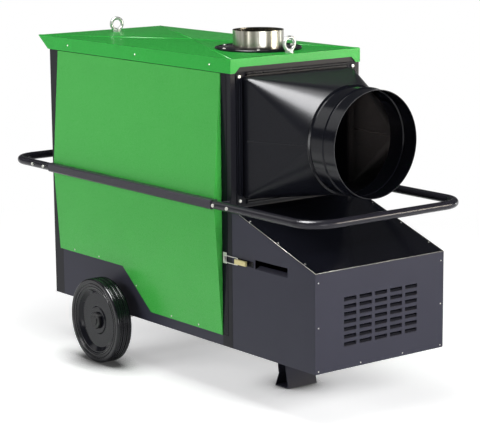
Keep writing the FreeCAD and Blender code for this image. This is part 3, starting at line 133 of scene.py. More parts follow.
coats = {
    # the panels' green is the paint with its red raised, partly a painted sheen; the lid's is a deeper
    # copy, painted shade for a lid top that catches less sheen, and the folds take it too
    "sheenedLeafGreen": {"light": "#48b44d", "dark": "#42ae48", "rough": 0.28, "specular": 0.22},
    "shadedLidGreen": {"light": "#28b13e", "dark": "#24ab3a", "rough": 0.28, "specular": 0.22},
    "foldGreen": {"light": "#28b13e", "dark": "#24ab3a", "rough": 0.25, "specular": 0.5},
    "anthracite": {"light": "#363642", "dark": "#32323e", "rough": 0.4, "specular": 0.15},
    "enamel": {"light": "#13141b", "dark": "#101117", "rough": 0.19, "specular": 0.19, "coat": 0.06,
               "grain": 3.0, "depth": 0.008},
    "hoodSatin": {"light": "#13141b", "dark": "#101117", "rough": 0.3, "specular": 0.18, "dust": 0.2},
    # a darker copy of the anthracite coat: painted shade on the posts, the bulkhead and the lower
    # louvre strips
    "shadedAnthracite": {"light": "#1b1b21", "dark": "#18181e", "rough": 0.38, "specular": 0.15},
    "flangeBlack": {"light": "#13141b", "dark": "#101117", "rough": 0.19, "specular": 0.1},
    # a lighter copy of the rail paint for the side rails: painted sheen
    "sheenedRailGrey": {"light": "#33303a", "dark": "#2e2b35", "rough": 0.3, "specular": 0.26},
    "railBlack": {"light": "#28272e", "dark": "#242329", "rough": 0.22, "specular": 0.23},
}


def powderCoat(name, look):
    # polyester powder baked on steel sheet: an even colour under a fine orange-peel gloss
    material, tree, shader = newMaterial(name, Specular_IOR_Level=look["specular"],
                                         Coat_Weight=look.get("coat", 0.0), Coat_Roughness=0.1)
    where = objectPlace(tree)
    paintColour(tree, shader, where, look["light"], look["dark"], patchMm=160)
    paintSkin(tree, shader, where, look.get("grain", 2.2), look.get("depth", 0.01),
              rough=look["rough"], spread=0.04)
    if "dust" in look:
        dustFilm(tree, shader, steep=(0.93, 0.985), dull=look["dust"])
    return material


# dark, light, band and bandSpan give painted reflections: broad vertical bands of light and dark round
# the tube
stainless = {"stretch": (1, 1, 0.02), "band": 34, "bandSpan": (0.36, 0.62),
             "dark": "#6f6c60", "light": "#b9b6ac",
             "line": 5, "lineDepth": 0.6, "lineStrength": 0.6}


def brushedStainless():
    # stainless sheet rolled into a tube: fine grind lines along it, with painted reflections in broad
    # bands of light and dark round it
    material, tree, shader = newMaterial("brushedStainless", Metallic=1.0, Roughness=0.22)
    squash = addNode(tree, "ShaderNodeMapping", {
        "Vector": objectPlace(tree), "Scale": stainless["stretch"]})
    along = squash.outputs["Vector"]
    paintedReflections = addNode(tree, "ShaderNodeTexNoise", {
        "Vector": along, "Scale": 1 / (stainless["band"] * mm), "Detail": 1.0})
    bandLow, bandHigh = stainless["bandSpan"]
    spread = addNode(tree, "ShaderNodeMapRange", {
        "Value": paintedReflections.outputs["Fac"], "From Min": bandLow, "From Max": bandHigh})
    tone = addNode(tree, "ShaderNodeMix", {
        0: spread.outputs["Result"], colourA: hexColour(stainless["dark"]),
        colourB: hexColour(stainless["light"])}, data_type="RGBA")
    tree.links.new(tone.outputs[colourOut], shader.inputs["Base Color"])
    lines = addNode(tree, "ShaderNodeTexNoise", {
        "Vector": along, "Scale": 1 / (stainless["line"] * mm), "Detail": 3.0})
    bump = addNode(tree, "ShaderNodeBump", {
        "Height": lines.outputs["Fac"], "Strength": stainless["lineStrength"],
        "Distance": stainless["lineDepth"] * mm})
    tree.links.new(bump.outputs["Normal"], shader.inputs["Normal"])
    return material


def platedZinc(name, light, dark, rough):
    # electroplated zinc under its pale passivation: clouded, half bright and half matt
    material, tree, shader = newMaterial(name, Metallic=0.45, Roughness=rough)
    paintColour(tree, shader, objectPlace(tree), light, dark, patchMm=6)
    return material


def tyreRubber():
    # moulded solid rubber: nearly black, with the soft gloss of a new tyre
    material, tree, shader = newMaterial("tyreRubber", Specular_IOR_Level=0.32)
    where = objectPlace(tree)
    paintColour(tree, shader, where, light="#0b0c12", dark="#101117", patchMm=25)
    paintSkin(tree, shader, where, grainMm=3.0, depthMm=0.012, rough=0.2, spread=0.04)
    return material


def mouldedPlastic():
    # injection-moulded polypropylene with a faint grain
    material, tree, shader = newMaterial("mouldedPlastic", Specular_IOR_Level=0.25)
    where = objectPlace(tree)
    paintColour(tree, shader, where, light="#0d0d10", dark="#121215", patchMm=60)
    paintSkin(tree, shader, where, grainMm=2.0, depthMm=0.01, rough=0.36, spread=0.05)
    return material


def dimInnerSteel():
    # stainless that is duller and warmer grey than the bare sheet: painted shade for the dim inside
    # seen through the mouth
    material, tree, shader = newMaterial("dimInnerSteel", Metallic=0.7)
    where = objectPlace(tree)
    paintColour(tree, shader, where, light="#bdb1ae", dark="#a39895", patchMm=70)
    paintSkin(tree, shader, where, grainMm=4.0, depthMm=0.02, rough=0.5, spread=0.08)
    return material


def castAlloy():
    # sand-cast light alloy, grey and grainy
    material, tree, shader = newMaterial("castAlloy", Metallic=1.0)
    where = objectPlace(tree)
    paintColour(tree, shader, where, light="#9a9a98", dark="#868684", patchMm=12)
    paintSkin(tree, shader, where, grainMm=1.5, depthMm=0.08, rough=0.45, spread=0.08)
    return material


finishes = {
    "green_paint": powderCoat("sheenedLeafGreenCoat", coats["sheenedLeafGreen"]),
    "black_paint": powderCoat("anthraciteCoat", coats["anthracite"]),
    "gloss_black": powderCoat("blackEnamel", coats["enamel"]),
    "rail_paint": powderCoat("railCoat", coats["railBlack"]),
    "wire": powderCoat("guardCoat", coats["railBlack"]),
    "stainless": brushedStainless(),
    "zinc": platedZinc("brightZinc", "#e0dfd8", "#c9c8c2", rough=0.28),
    "yellow_zinc": platedZinc("yellowZinc", "#d8cf9f", "#c6b878", rough=0.32),
    "tyre": tyreRubber(),
    "black_plastic": mouldedPlastic(),
    "cast_alloy": castAlloy(),
}
inner = dimInnerSteel()
# painted shade: the darker copy of the anthracite coat
posts = powderCoat("shadedAnthraciteCoat", coats["shadedAnthracite"])
flange = powderCoat("flangeCoat", coats["flangeBlack"])
folds = powderCoat("foldCoat", coats["foldGreen"])
ownFinish = {
    # painted shade: the lid's deeper copy of the green paint
    "lid": powderCoat("shadedLidGreenCoat", coats["shadedLidGreen"]),
    "lifting_eyes": platedZinc("forgedZinc", "#c3c6c2", "#a9aca8", rough=0.26),
    "outlet_hood": powderCoat("hoodCoat", coats["hoodSatin"]),
    "outlet_flange": flange, "latch_bases": flange,
    "side_rails": powderCoat("sheenedSideRailCoat", coats["sheenedRailGrey"]),
    "corner_posts": posts, "bulkhead": posts,
    "combustion_chamber": inner, "rear_gas_box": inner, "exchanger_tubes": inner, "flue_gas_box": inner,
}
print("materials:", len({folds, *finishes.values(), *ownFinish.values()}))


# CAD pieces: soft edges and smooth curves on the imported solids

edgeWork = {
    "weld": 0.01, "sharpAbove": 32, "flatWithin": 0.4, "segments": 2, "flatWeight": 100,
    "bevel": {
        "lid": 1.8, "side_panel_left": 0.6, "side_panel_right": 0.6, "corner_posts": 0.8,
        "cover_front": 0.5, "cover_top": 1.0, "cover_side_left": 0.7, "cover_side_right": 0.7,
        "outlet_flange": 0.8, "control_box": 2.0, "switch_knob": 1.2, "support_foot": 1.2,
        "hood_bolts": 0.6, "rail_bolts": 1.4, "lifting_eyes": 1.0, "side_rails": 1.2,
        "tyre_left": 0.9, "tyre_right": 0.9},
}
sharpAngle = math.radians(edgeWork["sharpAbove"])


def shadeByAngle():
    # smooth across gentle bends, sharp along the others
    tree, start = newTree("shadeByAngle", {"Geometry": "Geometry", "Angle": "Float"}, "Geometry")
    tree.interface.items_tree["Angle"].default_value = sharpAngle
    bend = addNode(tree, "GeometryNodeInputMeshEdgeAngle")
    gentle = addNode(tree, "FunctionNodeCompare", {
        "A": bend.outputs["Unsigned Angle"], "B": start["Angle"]}, operation="LESS_EQUAL")
    faces = addNode(tree, "GeometryNodeSetShadeSmooth", {"Geometry": start["Geometry"]}, domain="FACE")
    edges = addNode(tree, "GeometryNodeSetShadeSmooth", {
        "Geometry": faces.outputs["Geometry"], "Shade Smooth": gentle.outputs["Result"]}, domain="EDGE")
    addNode(tree, "NodeGroupOutput", {"Geometry": edges.outputs["Geometry"]})
    return tree


smoothTree = shadeByAngle()

for name, piece in nodes.items():
    piece.data.materials.clear()
    piece.data.materials.append(ownFinish.get(name, finishes[slotOf[name]]))
    weld = piece.modifiers.new("weld", "WELD")
    weld.merge_threshold = edgeWork["weld"] * mm
    width = edgeWork["bevel"].get(name)
    if width:
        flat = piece.modifiers.new("flat", "DECIMATE")
        flat.decimate_type = "DISSOLVE"
        flat.angle_limit = math.radians(edgeWork["flatWithin"])
        soft = piece.modifiers.new("soft", "BEVEL")
        soft.width = width * mm
        soft.segments = edgeWork["segments"]
        soft.limit_method = "ANGLE"
        soft.angle_limit = sharpAngle
    smooth = piece.modifiers.new("smooth", "NODES")
    smooth.node_group = smoothTree
    if width:
        # keeps the sheet faces flat next to a soft edge
        level = piece.modifiers.new("level", "WEIGHTED_NORMAL")
        level.keep_sharp = True
        level.weight = edgeWork["flatWeight"]
print("CAD pieces dressed")


# how the scene's own pieces are made

def spreadShape(tree, start, shape, turn, output):
    # one shape on every spot, made real and given its finish
    copies = addNode(tree, "GeometryNodeInstanceOnPoints", {
        "Points": start["Spots"], "Instance": shape, "Rotation": turn})
    real = addNode(tree, "GeometryNodeRealizeInstances", {"Geometry": copies.outputs["Instances"]})
    done = addNode(tree, "GeometryNodeSetMaterial", {
        "Geometry": real.outputs["Geometry"], "Material": start["Finish"]})
    addNode(tree, "NodeGroupOutput", {output: done.outputs["Geometry"]})


def inputKey(tree, name):
    return next(item.identifier for item in tree.interface.items_tree
                if item.name == name and item.in_out == "INPUT")


def growPiece(name, body, tree, values, spots, ways=()):
    # runs the tree on loose spots, which may each face a way, and keeps the mesh that it makes
    mesh = bpy.data.meshes.new(name)
    mesh.from_pydata(spots, [], [])
    if ways:
        facing = mesh.attributes.new("facing", "FLOAT_VECTOR", "POINT")
        for item, way in zip(facing.data, ways):
            item.vector = way
    piece = bpy.data.objects.new(name, mesh)
    scene.collection.objects.link(piece)
    grow = piece.modifiers.new("grow", "NODES")
    grow.node_group = tree
    for key, value in values.items():
        grow[inputKey(tree, key)] = value
    solid = bpy.data.meshes.new_from_object(piece.evaluated_get(bpy.context.evaluated_depsgraph_get()))
    piece.modifiers.clear()
    piece.data = solid
    solid.name = name
    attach(piece, body)


def seatPiece(name, body, work, finish):
    # turns finished bmesh work into a piece on its body
    bmesh.ops.recalc_face_normals(work, faces=work.faces)
    mesh = bpy.data.meshes.new(name)
    work.to_mesh(mesh)
    work.free()
    mesh.materials.append(finish)
    piece = bpy.data.objects.new(name, mesh)
    scene.collection.objects.link(piece)
    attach(piece, body)


# screws, rivets and clinch points

headShape = {"sides": 14, "domeRise": 0.5, "domeWidth": 0.74, "recessDepth": 0.6}
headKinds = {  # radius and height in mm, the recess as a share of the dome's flat top
    "pan": {"radius": 3.4, "height": 1.8, "recess": 0.5},
    "cover": {"radius": 2.8, "height": 1.6, "recess": 0.5},
    "washer": {"radius": 6.5, "height": 3.0, "recess": 0.45},
    "rivet": {"radius": 2.4, "height": 1.2, "recess": 0.3},
    "clinch": {"radius": 2.6, "height": 1.4, "recess": 0.4},
}


def headTree():
    # a round head with a domed edge and a recess in its top
    tree, start = newTree("screwHeads", {
        "Spots": "Geometry", "Radius": "Float", "Height": "Float", "Recess": "Float",
        "Finish": "Material"}, "Heads")
    high = start["Height"]
    edge = addNode(tree, "GeometryNodeMeshCylinder", {
        "Vertices": headShape["sides"], "Radius": start["Radius"], "Depth": high}, fill_type="NGON")
    rise = addNode(tree, "ShaderNodeMath", {0: high, 1: headShape["domeRise"]}, operation="MULTIPLY")
    crown = addNode(tree, "GeometryNodeExtrudeMesh", {
        "Mesh": edge.outputs["Mesh"], "Selection": edge.outputs["Top"],
        "Offset Scale": rise.outputs[0]}, mode="FACES")
    dome = addNode(tree, "GeometryNodeScaleElements", {
        "Geometry": crown.outputs["Mesh"], "Selection": crown.outputs["Top"],
        "Scale": headShape["domeWidth"]}, domain="FACE")
    ring = addNode(tree, "GeometryNodeExtrudeMesh", {
        "Mesh": dome.outputs["Geometry"], "Selection": crown.outputs["Top"],
        "Offset Scale": 0.0}, mode="FACES")
    rim = addNode(tree, "GeometryNodeScaleElements", {
        "Geometry": ring.outputs["Mesh"], "Selection": ring.outputs["Top"],
        "Scale": start["Recess"]}, domain="FACE")
    sink = addNode(tree, "ShaderNodeMath", {
        0: high, 1: -headShape["recessDepth"]}, operation="MULTIPLY")
    pit = addNode(tree, "GeometryNodeExtrudeMesh", {
        "Mesh": rim.outputs["Geometry"], "Selection": ring.outputs["Top"],
        "Offset Scale": sink.outputs[0]}, mode="FACES")
    facing = addNode(tree, "GeometryNodeInputNamedAttribute", {
        "Name": "facing"}, data_type="FLOAT_VECTOR")
    turn = addNode(tree, "FunctionNodeAlignRotationToVector", {"Vector": facing.outputs[0]}, axis="Z")
    spreadShape(tree, start, pit.outputs["Mesh"], turn.outputs["Rotation"], "Heads")
    return tree


heads = headTree()


def fasten(name, body, slot, kind, spots):
    # spots: places in mm, each with the way that its head faces
    head = headKinds[kind]
    growPiece(name, body, heads,
              {"Radius": head["radius"] * mm, "Height": head["height"] * mm, "Recess": head["recess"],
               "Finish": finishes[slot]},
              [tuple(v * mm for v in place) for place, way in spots], [way for place, way in spots])


def bothSides(spots):
    return spots + [((x, -y, z), (a, -b, c)) for (x, y, z), (a, b, c) in spots]


sheet = {
    "lidSkirt": {"x": (-633, -142, 347), "y": 317.3, "z": 1268},
    "panelFoot": {"places": [(-597, 411), (-413, 411), (-152, 333), (82, 251), (262, 251)],
                  "foot": (319, 239), "lean": 0.0658, "way": (0, 0.9978, -0.0657)},
    "rearEdge": {"x": -777, "y": 282, "z": (235, 480, 965, 1205)},
    "controlLid": {"x": -847, "places": [(98, 257), (98, 408)]},
}


def sheetScrews():
    skirt, panel = sheet["lidSkirt"], sheet["panelFoot"]
    rear, control = sheet["rearEdge"], sheet["controlLid"]
    footY, footZ = panel["foot"]
    spots = bothSides([((x, skirt["y"], skirt["z"]), outward) for x in skirt["x"]])
    spots += bothSides([((x, footY + (z - footZ) * panel["lean"], z), panel["way"])
                        for x, z in panel["places"]])
    spots += bothSides([((rear["x"], rear["y"], z), rearward) for z in rear["z"]])
    spots += bothSides([((control["x"], y, z), rearward) for y, z in control["places"]])
    fasten("sheet_screws", "chassis", "zinc", "pan", spots)


rosette = {"centre": (242, 0, 1306), "ring": 152, "count": 6, "turn": 22}


def rosetteScrews():
    x, y, z = rosette["centre"]
    step = 360 / rosette["count"]
    turns = [math.radians(rosette["turn"] + step * count) for count in range(rosette["count"])]
    spots = [((x + rosette["ring"] * math.cos(turn), y + rosette["ring"] * math.sin(turn), z), upward)
             for turn in turns]
    fasten("rosette_screws", "chassis", "zinc", "washer", spots)


cover = {"front": 960, "slopeFoot": 569, "fall": 0.34086, "slopeWay": (0.3227, 0, 0.9465),
         "frontScrews": [(300, 534), (300, 368), (300, 207)], "footScrews": [(-99, 208), (108, 208)],
         "slopeScrews": {"x": (572, 735, 890), "y": 303}}


def slopeLevel(x):
    return cover["slopeFoot"] + (cover["front"] - x) * cover["fall"]


def coverScrews():
    slope = cover["slopeScrews"]
    spots = bothSides([((cover["front"], y, z), forward) for y, z in cover["frontScrews"]])
    spots += [((cover["front"], y, z), forward) for y, z in cover["footScrews"]]
    spots += bothSides([((x, slope["y"], slopeLevel(x)), cover["slopeWay"]) for x in slope["x"]])
    fasten("cover_screws", "burner_cover", "zinc", "cover", spots)


clinch = {"x": 484, "sideY": 280.5, "sideZ": range(800, 1201, 31),
          "rowY": range(-240, 241, 24), "rowZ": (1241.5, 751.5)}


def clinchPoints():
    spots = bothSides([((clinch["x"], clinch["sideY"], z), forward) for z in clinch["sideZ"]])
    spots += [((clinch["x"], y, z), forward) for y in clinch["rowY"] for z in clinch["rowZ"]]
    fasten("clinch_points", "chassis", "gloss_black", "clinch", spots)


latch = {"keeper": {"x": 430, "y": 317, "z": (526.5, 559.5)},
         "base": {"x": (585, 597), "y": 316.5, "z": 543}}


def latchRivets():
    keeper, base = latch["keeper"], latch["base"]
    fasten("keeper_rivets", "chassis", "zinc", "rivet",
           bothSides([((keeper["x"], keeper["y"], z), outward) for z in keeper["z"]]))
    fasten("latch_rivets", "burner_cover", "black_plastic", "rivet",
           bothSides([((x, base["y"], base["z"]), outward) for x in base["x"]]))


sheetScrews()
rosetteScrews()
coverScrews()
clinchPoints()
latchRivets()
print("screws and rivets set")


# lap seams along the middle of the hood's sides, outside and inside

seam = {"tall": 7, "proud": 0.9, "sunk": 0.3, "wall": 2,
        "rear": (506, 262), "front": (784, 200.7), "level": (990, 998)}
boxFaces = ((0, 1, 3, 2), (4, 6, 7, 5), (0, 4, 5, 1), (2, 3, 7, 6), (0, 2, 6, 4), (1, 5, 7, 3))


def hoodSeams():
    work = bmesh.new()
    run = Vector((seam["front"][0] - seam["rear"][0], seam["front"][1] - seam["rear"][1], 0))
    out = Vector((-run.y, run.x, 0)).normalized()
    for side in (1, -1):
        for reach in (0, -seam["wall"] - seam["proud"]):
            corners = []
            for (x, y), level in zip((seam["rear"], seam["front"]), seam["level"]):
                for up in (-0.5, 0.5):
                    for lift in (-seam["sunk"], seam["proud"]):
                        shift = out * (lift + reach)
                        spot = Vector((x + shift.x, side * (y + shift.y), level + up * seam["tall"]))
                        corners.append(work.verts.new(spot * mm))
            for face in boxFaces:
                work.faces.new([corners[i] for i in face])
    seatPiece("hood_seams", "chassis", work, finishes["gloss_black"])


hoodSeams()
print("hood seams laid")


# beads: painted highlights along the slope's edges and round the collar's mouth,
# folds across the lid, the rosette's edge and the ribs of the tyres

def beadMesh(name, body, slot, paths, sides, closed, finish=None):
    # paths: a list of (points, radius, side vector) in mm; each point carries a ring of vertices
    work = bmesh.new()
    turns = [2 * math.pi * step / sides for step in range(sides)]
    for points, radius, across in paths:
        rings = []
        for place, out in points:
            ways = [out * math.cos(turn) + across * math.sin(turn) for turn in turns]
            rings.append([work.verts.new((place + way * radius) * mm) for way in ways])
        for first, second in zip(rings, rings[1:] + rings[:1] if closed else rings[1:]):
            for step in range(sides):
                after = (step + 1) % sides
                work.faces.new((first[step], second[step], second[after], first[after])).smooth = True
        if not closed:
            work.faces.new(rings[0])
            work.faces.new(rings[-1])
    seatPiece(name, body, work, finish or finishes[slot])


def ringPoints(centre, first, second, radius, steps):
    turns = [2 * math.pi * step / steps for step in range(steps)]
    ways = [first * math.cos(turn) + second * math.sin(turn) for turn in turns]
    return [(centre + way * radius, way) for way in ways]


slopeHighlight = {"side": 0.9, "front": 0.4, "sides": 10, "across": 313.6, "along": (476, 959.4)}


# painted highlight: a pale zinc bead along each side and the front of the slope stands for the
# highlight on its painted edge
def slopeHighlightBeads():
    paths = []
    for side in (1, -1):
        ends = [Vector((x, side * slopeHighlight["across"], slopeLevel(x))) for x in slopeHighlight["along"]]
        paths.append(([(end, Vector(cover["slopeWay"])) for end in ends], slopeHighlight["side"], acrossY))
    frontX = cover["front"] - slopeHighlight["front"]
    ends = [Vector((frontX, side * slopeHighlight["across"], cover["slopeFoot"])) for side in (-1, 1)]
    paths.append(([(end, acrossZ) for end in ends], slopeHighlight["front"], acrossX))
    beadMesh("slope_highlight_beads", "burner_cover", "zinc", paths, slopeHighlight["sides"], closed=False)


lidFold = {"radius": 1.8, "sides": 12, "crown": (-192, 0, 1304.8),
           "corners": ((-858, 313, 1297), (474, 313, 1297))}


def lidFolds():
    crown = Vector(lidFold["crown"])
    paths = []
    for side in (1, -1):
        for x, y, z in lidFold["corners"]:
            corner = Vector((x, side * y, z))
            run = (corner - crown).normalized()
            across = run.cross(acrossZ).normalized()
            out = across.cross(run)
            paths.append(([(crown, out), (corner, out)], lidFold["radius"], across))
    beadMesh("lid_folds", "chassis", "green_paint", paths, lidFold["sides"], closed=False, finish=folds)


collarHighlight = {"centre": (927.4, 0, 1000), "radius": 199, "bead": 0.6, "steps": 144, "sides": 10}


# painted highlight: a thin stainless bead round the collar's mouth stands for the highlight on its rim
def collarHighlightRim():
    points = ringPoints(Vector(collarHighlight["centre"]), acrossY, acrossZ,
                        collarHighlight["radius"], collarHighlight["steps"])
    paths = [(points, collarHighlight["bead"], acrossX)]
    beadMesh("collar_highlight_rim", "chassis", "stainless", paths, collarHighlight["sides"], closed=True)


rosetteBead = {"centre": (242, 0, 1303.4), "radius": 165.5, "bead": 4.2, "steps": 144, "sides": 14}


def rosetteEdge():
    points = ringPoints(Vector(rosetteBead["centre"]), acrossX, acrossY,
                        rosetteBead["radius"], rosetteBead["steps"])
    paths = [(points, rosetteBead["bead"], acrossZ)]
    beadMesh("rosette_edge", "chassis", "gloss_black", paths, rosetteBead["sides"], closed=True)


tyreRib = {  # flank and groove: radius of the ring and of its bead
    "centre": (-304.4, 174.3), "steps": 120, "sides": 8,
    "flank": [(151.5, 1.7), (140.5, 1.5)], "flankY": 431.8,
    "groove": (172.2, 1.9), "firstY": 378.86, "pitch": 19.636, "grooves": 3,
}


def tyreRibs(name, body, side):
    rings = [(radius, bead, tyreRib["flankY"]) for radius, bead in tyreRib["flank"]]
    levels = [tyreRib["firstY"] + tyreRib["pitch"] * count for count in range(tyreRib["grooves"])]
    rings += [(*tyreRib["groove"], level) for level in levels]
    paths = []
    for radius, bead, level in rings:
        centre = Vector((tyreRib["centre"][0], side * level, tyreRib["centre"][1]))
        paths.append((ringPoints(centre, acrossX, acrossZ, radius, tyreRib["steps"]), bead, acrossY))
    beadMesh(name, body, "tyre", paths, tyreRib["sides"], closed=True)


slopeHighlightBeads()
lidFolds()
collarHighlightRim()
rosetteEdge()
tyreRibs("tyre_ribs_left", "wheel_left", 1)
tyreRibs("tyre_ribs_right", "wheel_right", -1)
print("beads laid")


# painted shade: dark strips on the corner posts along the front edge of each side panel, where the
# panel's proud fold shades the post

shadeStrips = {"along": (413.5, 448), "face": (314.6, 316), "level": (240, 1240)}


def panelEdgeShade():
    work = bmesh.new()
    spans = (shadeStrips["along"], shadeStrips["face"], shadeStrips["level"])
    size = Matrix.Diagonal([(high - low) * mm for low, high in spans] + [1])
    x, y, z = ((low + high) / 2 * mm for low, high in spans)
    for side in (1, -1):
        bmesh.ops.create_cube(work, size=1, matrix=Matrix.Translation((x, side * y, z)) @ size)
    seatPiece("panel_edge_shade", "chassis", work, flange)


panelEdgeShade()
print("panel seals set")


# painted shade: black strips on the upper half of each louvre, where the flap lies in the shade of the
# slot's upper lip, and dark grey ones below them

louvres = {"rows": 7, "columns": 5, "top": 464, "pitch": 28, "column": 74.75,
           "depth": 11, "high": 16, "flap": 1.5, "width": 57, "thick": 0.6,
           "standOff": 0.4,  # from the flap to the strip's middle, as a share of its thickness
           "shadeShare": (0.56, 0.98), "dusk": (0.1, 0.56)}  # shares of the flap's height


def stripTree():
    # a flat strip, tilted like the flap under it
    tree, start = newTree("louvreStrips", {
        "Spots": "Geometry", "Size": "Vector", "Tilt": "Vector", "Finish": "Material"}, "Strips")
    strip = addNode(tree, "GeometryNodeMeshCube", {"Size": start["Size"]})
    turn = addNode(tree, "FunctionNodeEulerToRotation", {"Euler": start["Tilt"]})
    spreadShape(tree, start, strip.outputs["Mesh"], turn.outputs["Rotation"], "Strips")
    return tree


strips = stripTree()


def louvreStrips(name, finish, share):
    drop = Vector((-louvres["depth"], 0, louvres["high"] - louvres["flap"]))
    out = Vector((drop.z, 0, -drop.x)).normalized()
    low, high = share
    spots = []
    for row in range(louvres["rows"]):
        foot = louvres["top"] - louvres["pitch"] * row - louvres["high"]
        for column in range(louvres["columns"]):
            across = (column - (louvres["columns"] - 1) / 2) * louvres["column"]
            middle = Vector((cover["front"], across, foot)) + drop * (low + high) / 2
            spots.append(tuple((middle + out * louvres["thick"] * louvres["standOff"]) * mm))
    size = (louvres["thick"] * mm, louvres["width"] * mm, drop.length * (high - low) * mm)
    tilt = (0, math.atan2(drop.x, drop.z), 0)
    growPiece(name, "burner_cover", strips, {"Size": size, "Tilt": tilt, "Finish": finish}, spots)


# painted shade on the flaps: black up under the lip, dark grey below
louvreStrips("louvre_shade", finishes["gloss_black"], louvres["shadeShare"])
louvreStrips("louvre_half_shade", posts, louvres["dusk"])
print("louvre seals set")


# stage, light and camera

studio = {
    "floor": "#f2f2f2", "floorReach": 60, "floorGlow": 0.46, "room": 0.06,
    "fadeFrom": 1.6, "fadeTo": 3.6,  # where the floor turns to plain white
    # shadow right round the tyres and the foot: how far it reaches, where it starts, how dark it gets
    "contact": 0.18, "contactFrom": 0.55, "contactDark": 0.08, "contactSamples": 16,
    # how steeply above the horizon the white paper ends, seen in reflections
    "paperEdge": (0.01, 0.06),
    # these draw highlights on gloss and metal and add no light
    "sheenOnly": ("sheenBox", "rimBox", "flueBox", "bandBox", "glintBox", "streakBox", "skirtBox"),
    # these light the object and show in no reflection
    "lightOnly": ("sideBox", "fillBox", "frontBox", "leftBox", "rearBox"),
    "white": (1.0, 1.0, 1.0),
    "warm": {"skirtBox": (1.0, 0.9, 0.76)},
    "lamps": [  # name, place, aim, size, watts
        ("topBox", (0.2, -0.5, 4.4), (0.2, -0.2, 0.9), (2.4, 1.6), 77),
        ("frontBox", (4.8, 0.2, 2.7), (0.6, 0.0, 0.6), (2.6, 1.8), 135),
        ("sideBox", (-1.5, -4.9, 2.3), (-0.2, -0.3, 0.7), (3.4, 2.2), 132),
        ("sheenBox", (0.45, -1.8, 4.2), (0.6, -0.2, 1.1), (2.2, 2.2), 680),
        ("flueBox", (5.0, -1.4, 0.7), (0.3, 0.0, 1.3), (2.0, 1.0), 50),
        ("bandBox", (1.05, 4.95, 0.42), (0.24, 0.0, 1.3), (0.9, 0.9), 20),
        ("glintBox", (4.3, 2.85, 0.4), (0.24, 0.0, 1.3), (0.5, 0.7), 6),
        ("streakBox", (0.95, -4.9, 0.55), (0.1, 0.0, 0.9), (0.6, 1.1), 14),
        ("skirtBox", (4.5, 3.4, 1.45), (0.5, 0.0, 1.28), (2.6, 0.8), 200),
        ("fillBox", (5.2, 0.2, 0.6), (0.9, 0.0, 0.3), (1.6, 0.7), 60),
        ("leftBox", (0.4, 4.9, 2.3), (0.0, 0.3, 0.7), (3.0, 2.0), 45),
        ("rearBox", (-4.9, 0.3, 2.0), (-0.6, 0.0, 0.7), (2.4, 1.8), 40),
        ("rimBox", (-3.4, -2.4, 3.8), (0.8, -0.1, 1.0), (2.6, 2.4), 28),
    ],
}


def plainFloor():
    mesh = bpy.data.meshes.new("floor")
    reach = studio["floorReach"]
    corners = [(-reach, -reach, 0), (reach, -reach, 0), (reach, reach, 0), (-reach, reach, 0)]
    mesh.from_pydata(corners, [], [(0, 1, 2, 3)])
    floor = bpy.data.objects.new("floor", mesh)
    scene.collection.objects.link(floor)
    mesh.materials.append(paperFloor())


def paperFloor():
    # matt white paper: keeps the shadow close by and fades to plain white further out
    material = bpy.data.materials.new("paperFloor")
    material.use_nodes = True
    tree = material.node_tree
    tree.nodes.clear()
    path = addNode(tree, "ShaderNodeLightPath").outputs
    seen = addNode(tree, "ShaderNodeMath", {
        0: path["Is Camera Ray"], 1: path["Is Glossy Ray"]}, operation="MAXIMUM").outputs[0]
    seen = addNode(tree, "ShaderNodeMath", {
        0: seen, 1: path["Is Transmission Ray"]}, operation="MAXIMUM").outputs[0]
    reach = addNode(tree, "ShaderNodeVectorMath", {0: objectPlace(tree)}, operation="LENGTH")
    close = addNode(tree, "ShaderNodeAmbientOcclusion", {
        "Distance": studio["contact"]}, samples=studio["contactSamples"])
    dusk = addNode(tree, "ShaderNodeMapRange", {
        "Value": close.outputs["AO"], "From Min": studio["contactFrom"], "From Max": 1.0,
        "To Min": studio["contactDark"], "To Max": 1.0}).outputs["Result"]
    far = addNode(tree, "ShaderNodeMapRange", {
        "Value": reach.outputs["Value"], "From Min": studio["fadeFrom"], "From Max": studio["fadeTo"]},
        interpolation_type="SMOOTHSTEP").outputs["Result"]
    white = addNode(tree, "ShaderNodeMath", {0: far, 1: seen}, operation="MULTIPLY")
    shade = addNode(tree, "ShaderNodeMath", {0: seen, 1: dusk}, operation="MULTIPLY")
    level = addNode(tree, "ShaderNodeMath", {
        0: shade.outputs[0], 1: studio["floorGlow"]}, operation="MULTIPLY")
    tone = addNode(tree, "ShaderNodeMix", {
        0: dusk, colourA: hexColour("#000000"), colourB: hexColour(studio["floor"])}, data_type="RGBA")
    paper = addNode(tree, "ShaderNodeBsdfDiffuse", {"Color": tone.outputs[colourOut]})
    glow = addNode(tree, "ShaderNodeEmission", {"Strength": level.outputs[0]})
    near = addNode(tree, "ShaderNodeAddShader", {0: paper.outputs[0], 1: glow.outputs[0]})
    plain = addNode(tree, "ShaderNodeEmission", {"Strength": 1.0})
    mix = addNode(tree, "ShaderNodeMixShader", {
        0: white.outputs[0], 1: near.outputs[0], 2: plain.outputs[0]})
    addNode(tree, "ShaderNodeOutputMaterial", {"Surface": mix.outputs[0]})
    return material


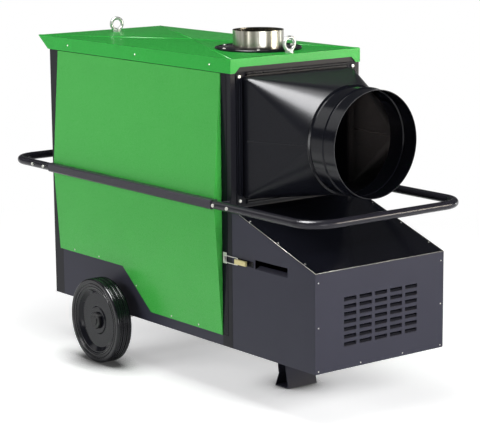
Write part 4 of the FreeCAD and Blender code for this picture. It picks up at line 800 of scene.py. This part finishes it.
def dimRoom():
    # a dim room behind white paper that fills the view and, in reflections, ends above the horizon
    world = bpy.data.worlds.new("dimRoom")
    scene.world = world
    world.use_nodes = True
    tree = world.node_tree
    back = tree.nodes["Background"]
    back.inputs["Color"].default_value = hexColour("#ffffff")
    path = addNode(tree, "ShaderNodeLightPath").outputs
    way = addNode(tree, "ShaderNodeTexCoord").outputs["Generated"]
    rise = addNode(tree, "ShaderNodeSeparateXYZ", {"Vector": way})
    edgeLow, edgeHigh = studio["paperEdge"]
    low = addNode(tree, "ShaderNodeMapRange", {
        "Value": rise.outputs["Z"], "From Min": edgeLow, "From Max": edgeHigh,
        "To Min": 1.0, "To Max": 0.0}, interpolation_type="SMOOTHSTEP")
    mirrored = addNode(tree, "ShaderNodeMath", {
        0: low.outputs["Result"], 1: path["Is Glossy Ray"]}, operation="MULTIPLY")
    seen = addNode(tree, "ShaderNodeMath", {
        0: path["Is Camera Ray"], 1: path["Is Transmission Ray"]}, operation="MAXIMUM")
    seen = addNode(tree, "ShaderNodeMath", {
        0: seen.outputs[0], 1: mirrored.outputs[0]}, operation="MAXIMUM")
    level = addNode(tree, "ShaderNodeMapRange", {
        "Value": seen.outputs[0], "To Min": studio["room"], "To Max": 1.0})
    tree.links.new(level.outputs["Result"], back.inputs["Strength"])


def softBoxes():
    for name, place, aim, size, watts in studio["lamps"]:
        data = bpy.data.lights.new(name, "AREA")
        data.shape = "RECTANGLE"
        data.size, data.size_y = size
        data.energy = watts
        data.color = studio["warm"].get(name, studio["white"])
        lamp = bpy.data.objects.new(name, data)
        lamp.location = place
        lamp.rotation_euler = (Vector(aim) - Vector(place)).to_track_quat("-Z", "Y").to_euler()
        lamp.visible_diffuse = name not in studio["sheenOnly"]
        lamp.visible_glossy = name not in studio["lightOnly"]
        scene.collection.objects.link(lamp)


view = {"place": (5.9335, -4.482, 2.025), "azimuth": 52.39, "elevation": 11.03, "roll": -0.52,
        "focalPx": 1867.9, "widthPx": 480, "sensor": 36}


def photoCamera():
    data = bpy.data.cameras.new("photoCamera")
    data.sensor_fit = "HORIZONTAL"
    data.sensor_width = view["sensor"]
    data.lens = view["focalPx"] / view["widthPx"] * view["sensor"]
    camera = bpy.data.objects.new("photoCamera", data)
    turn, lift, roll = (math.radians(view[key]) for key in ("azimuth", "elevation", "roll"))
    back = Vector((math.sin(turn) * math.cos(lift), -math.cos(turn) * math.cos(lift), math.sin(lift)))
    right = acrossZ.cross(back).normalized()
    up = back.cross(right)
    rightRolled = right * math.cos(roll) + up * math.sin(roll)
    upRolled = up * math.cos(roll) - right * math.sin(roll)
    axes = Matrix((rightRolled, upRolled, back)).transposed().to_4x4()
    camera.matrix_world = Matrix.Translation(view["place"]) @ axes
    scene.collection.objects.link(camera)
    scene.camera = camera


plainFloor()
dimRoom()
softBoxes()
photoCamera()
scene.view_settings.view_transform = "Standard"
print("stage and camera set")
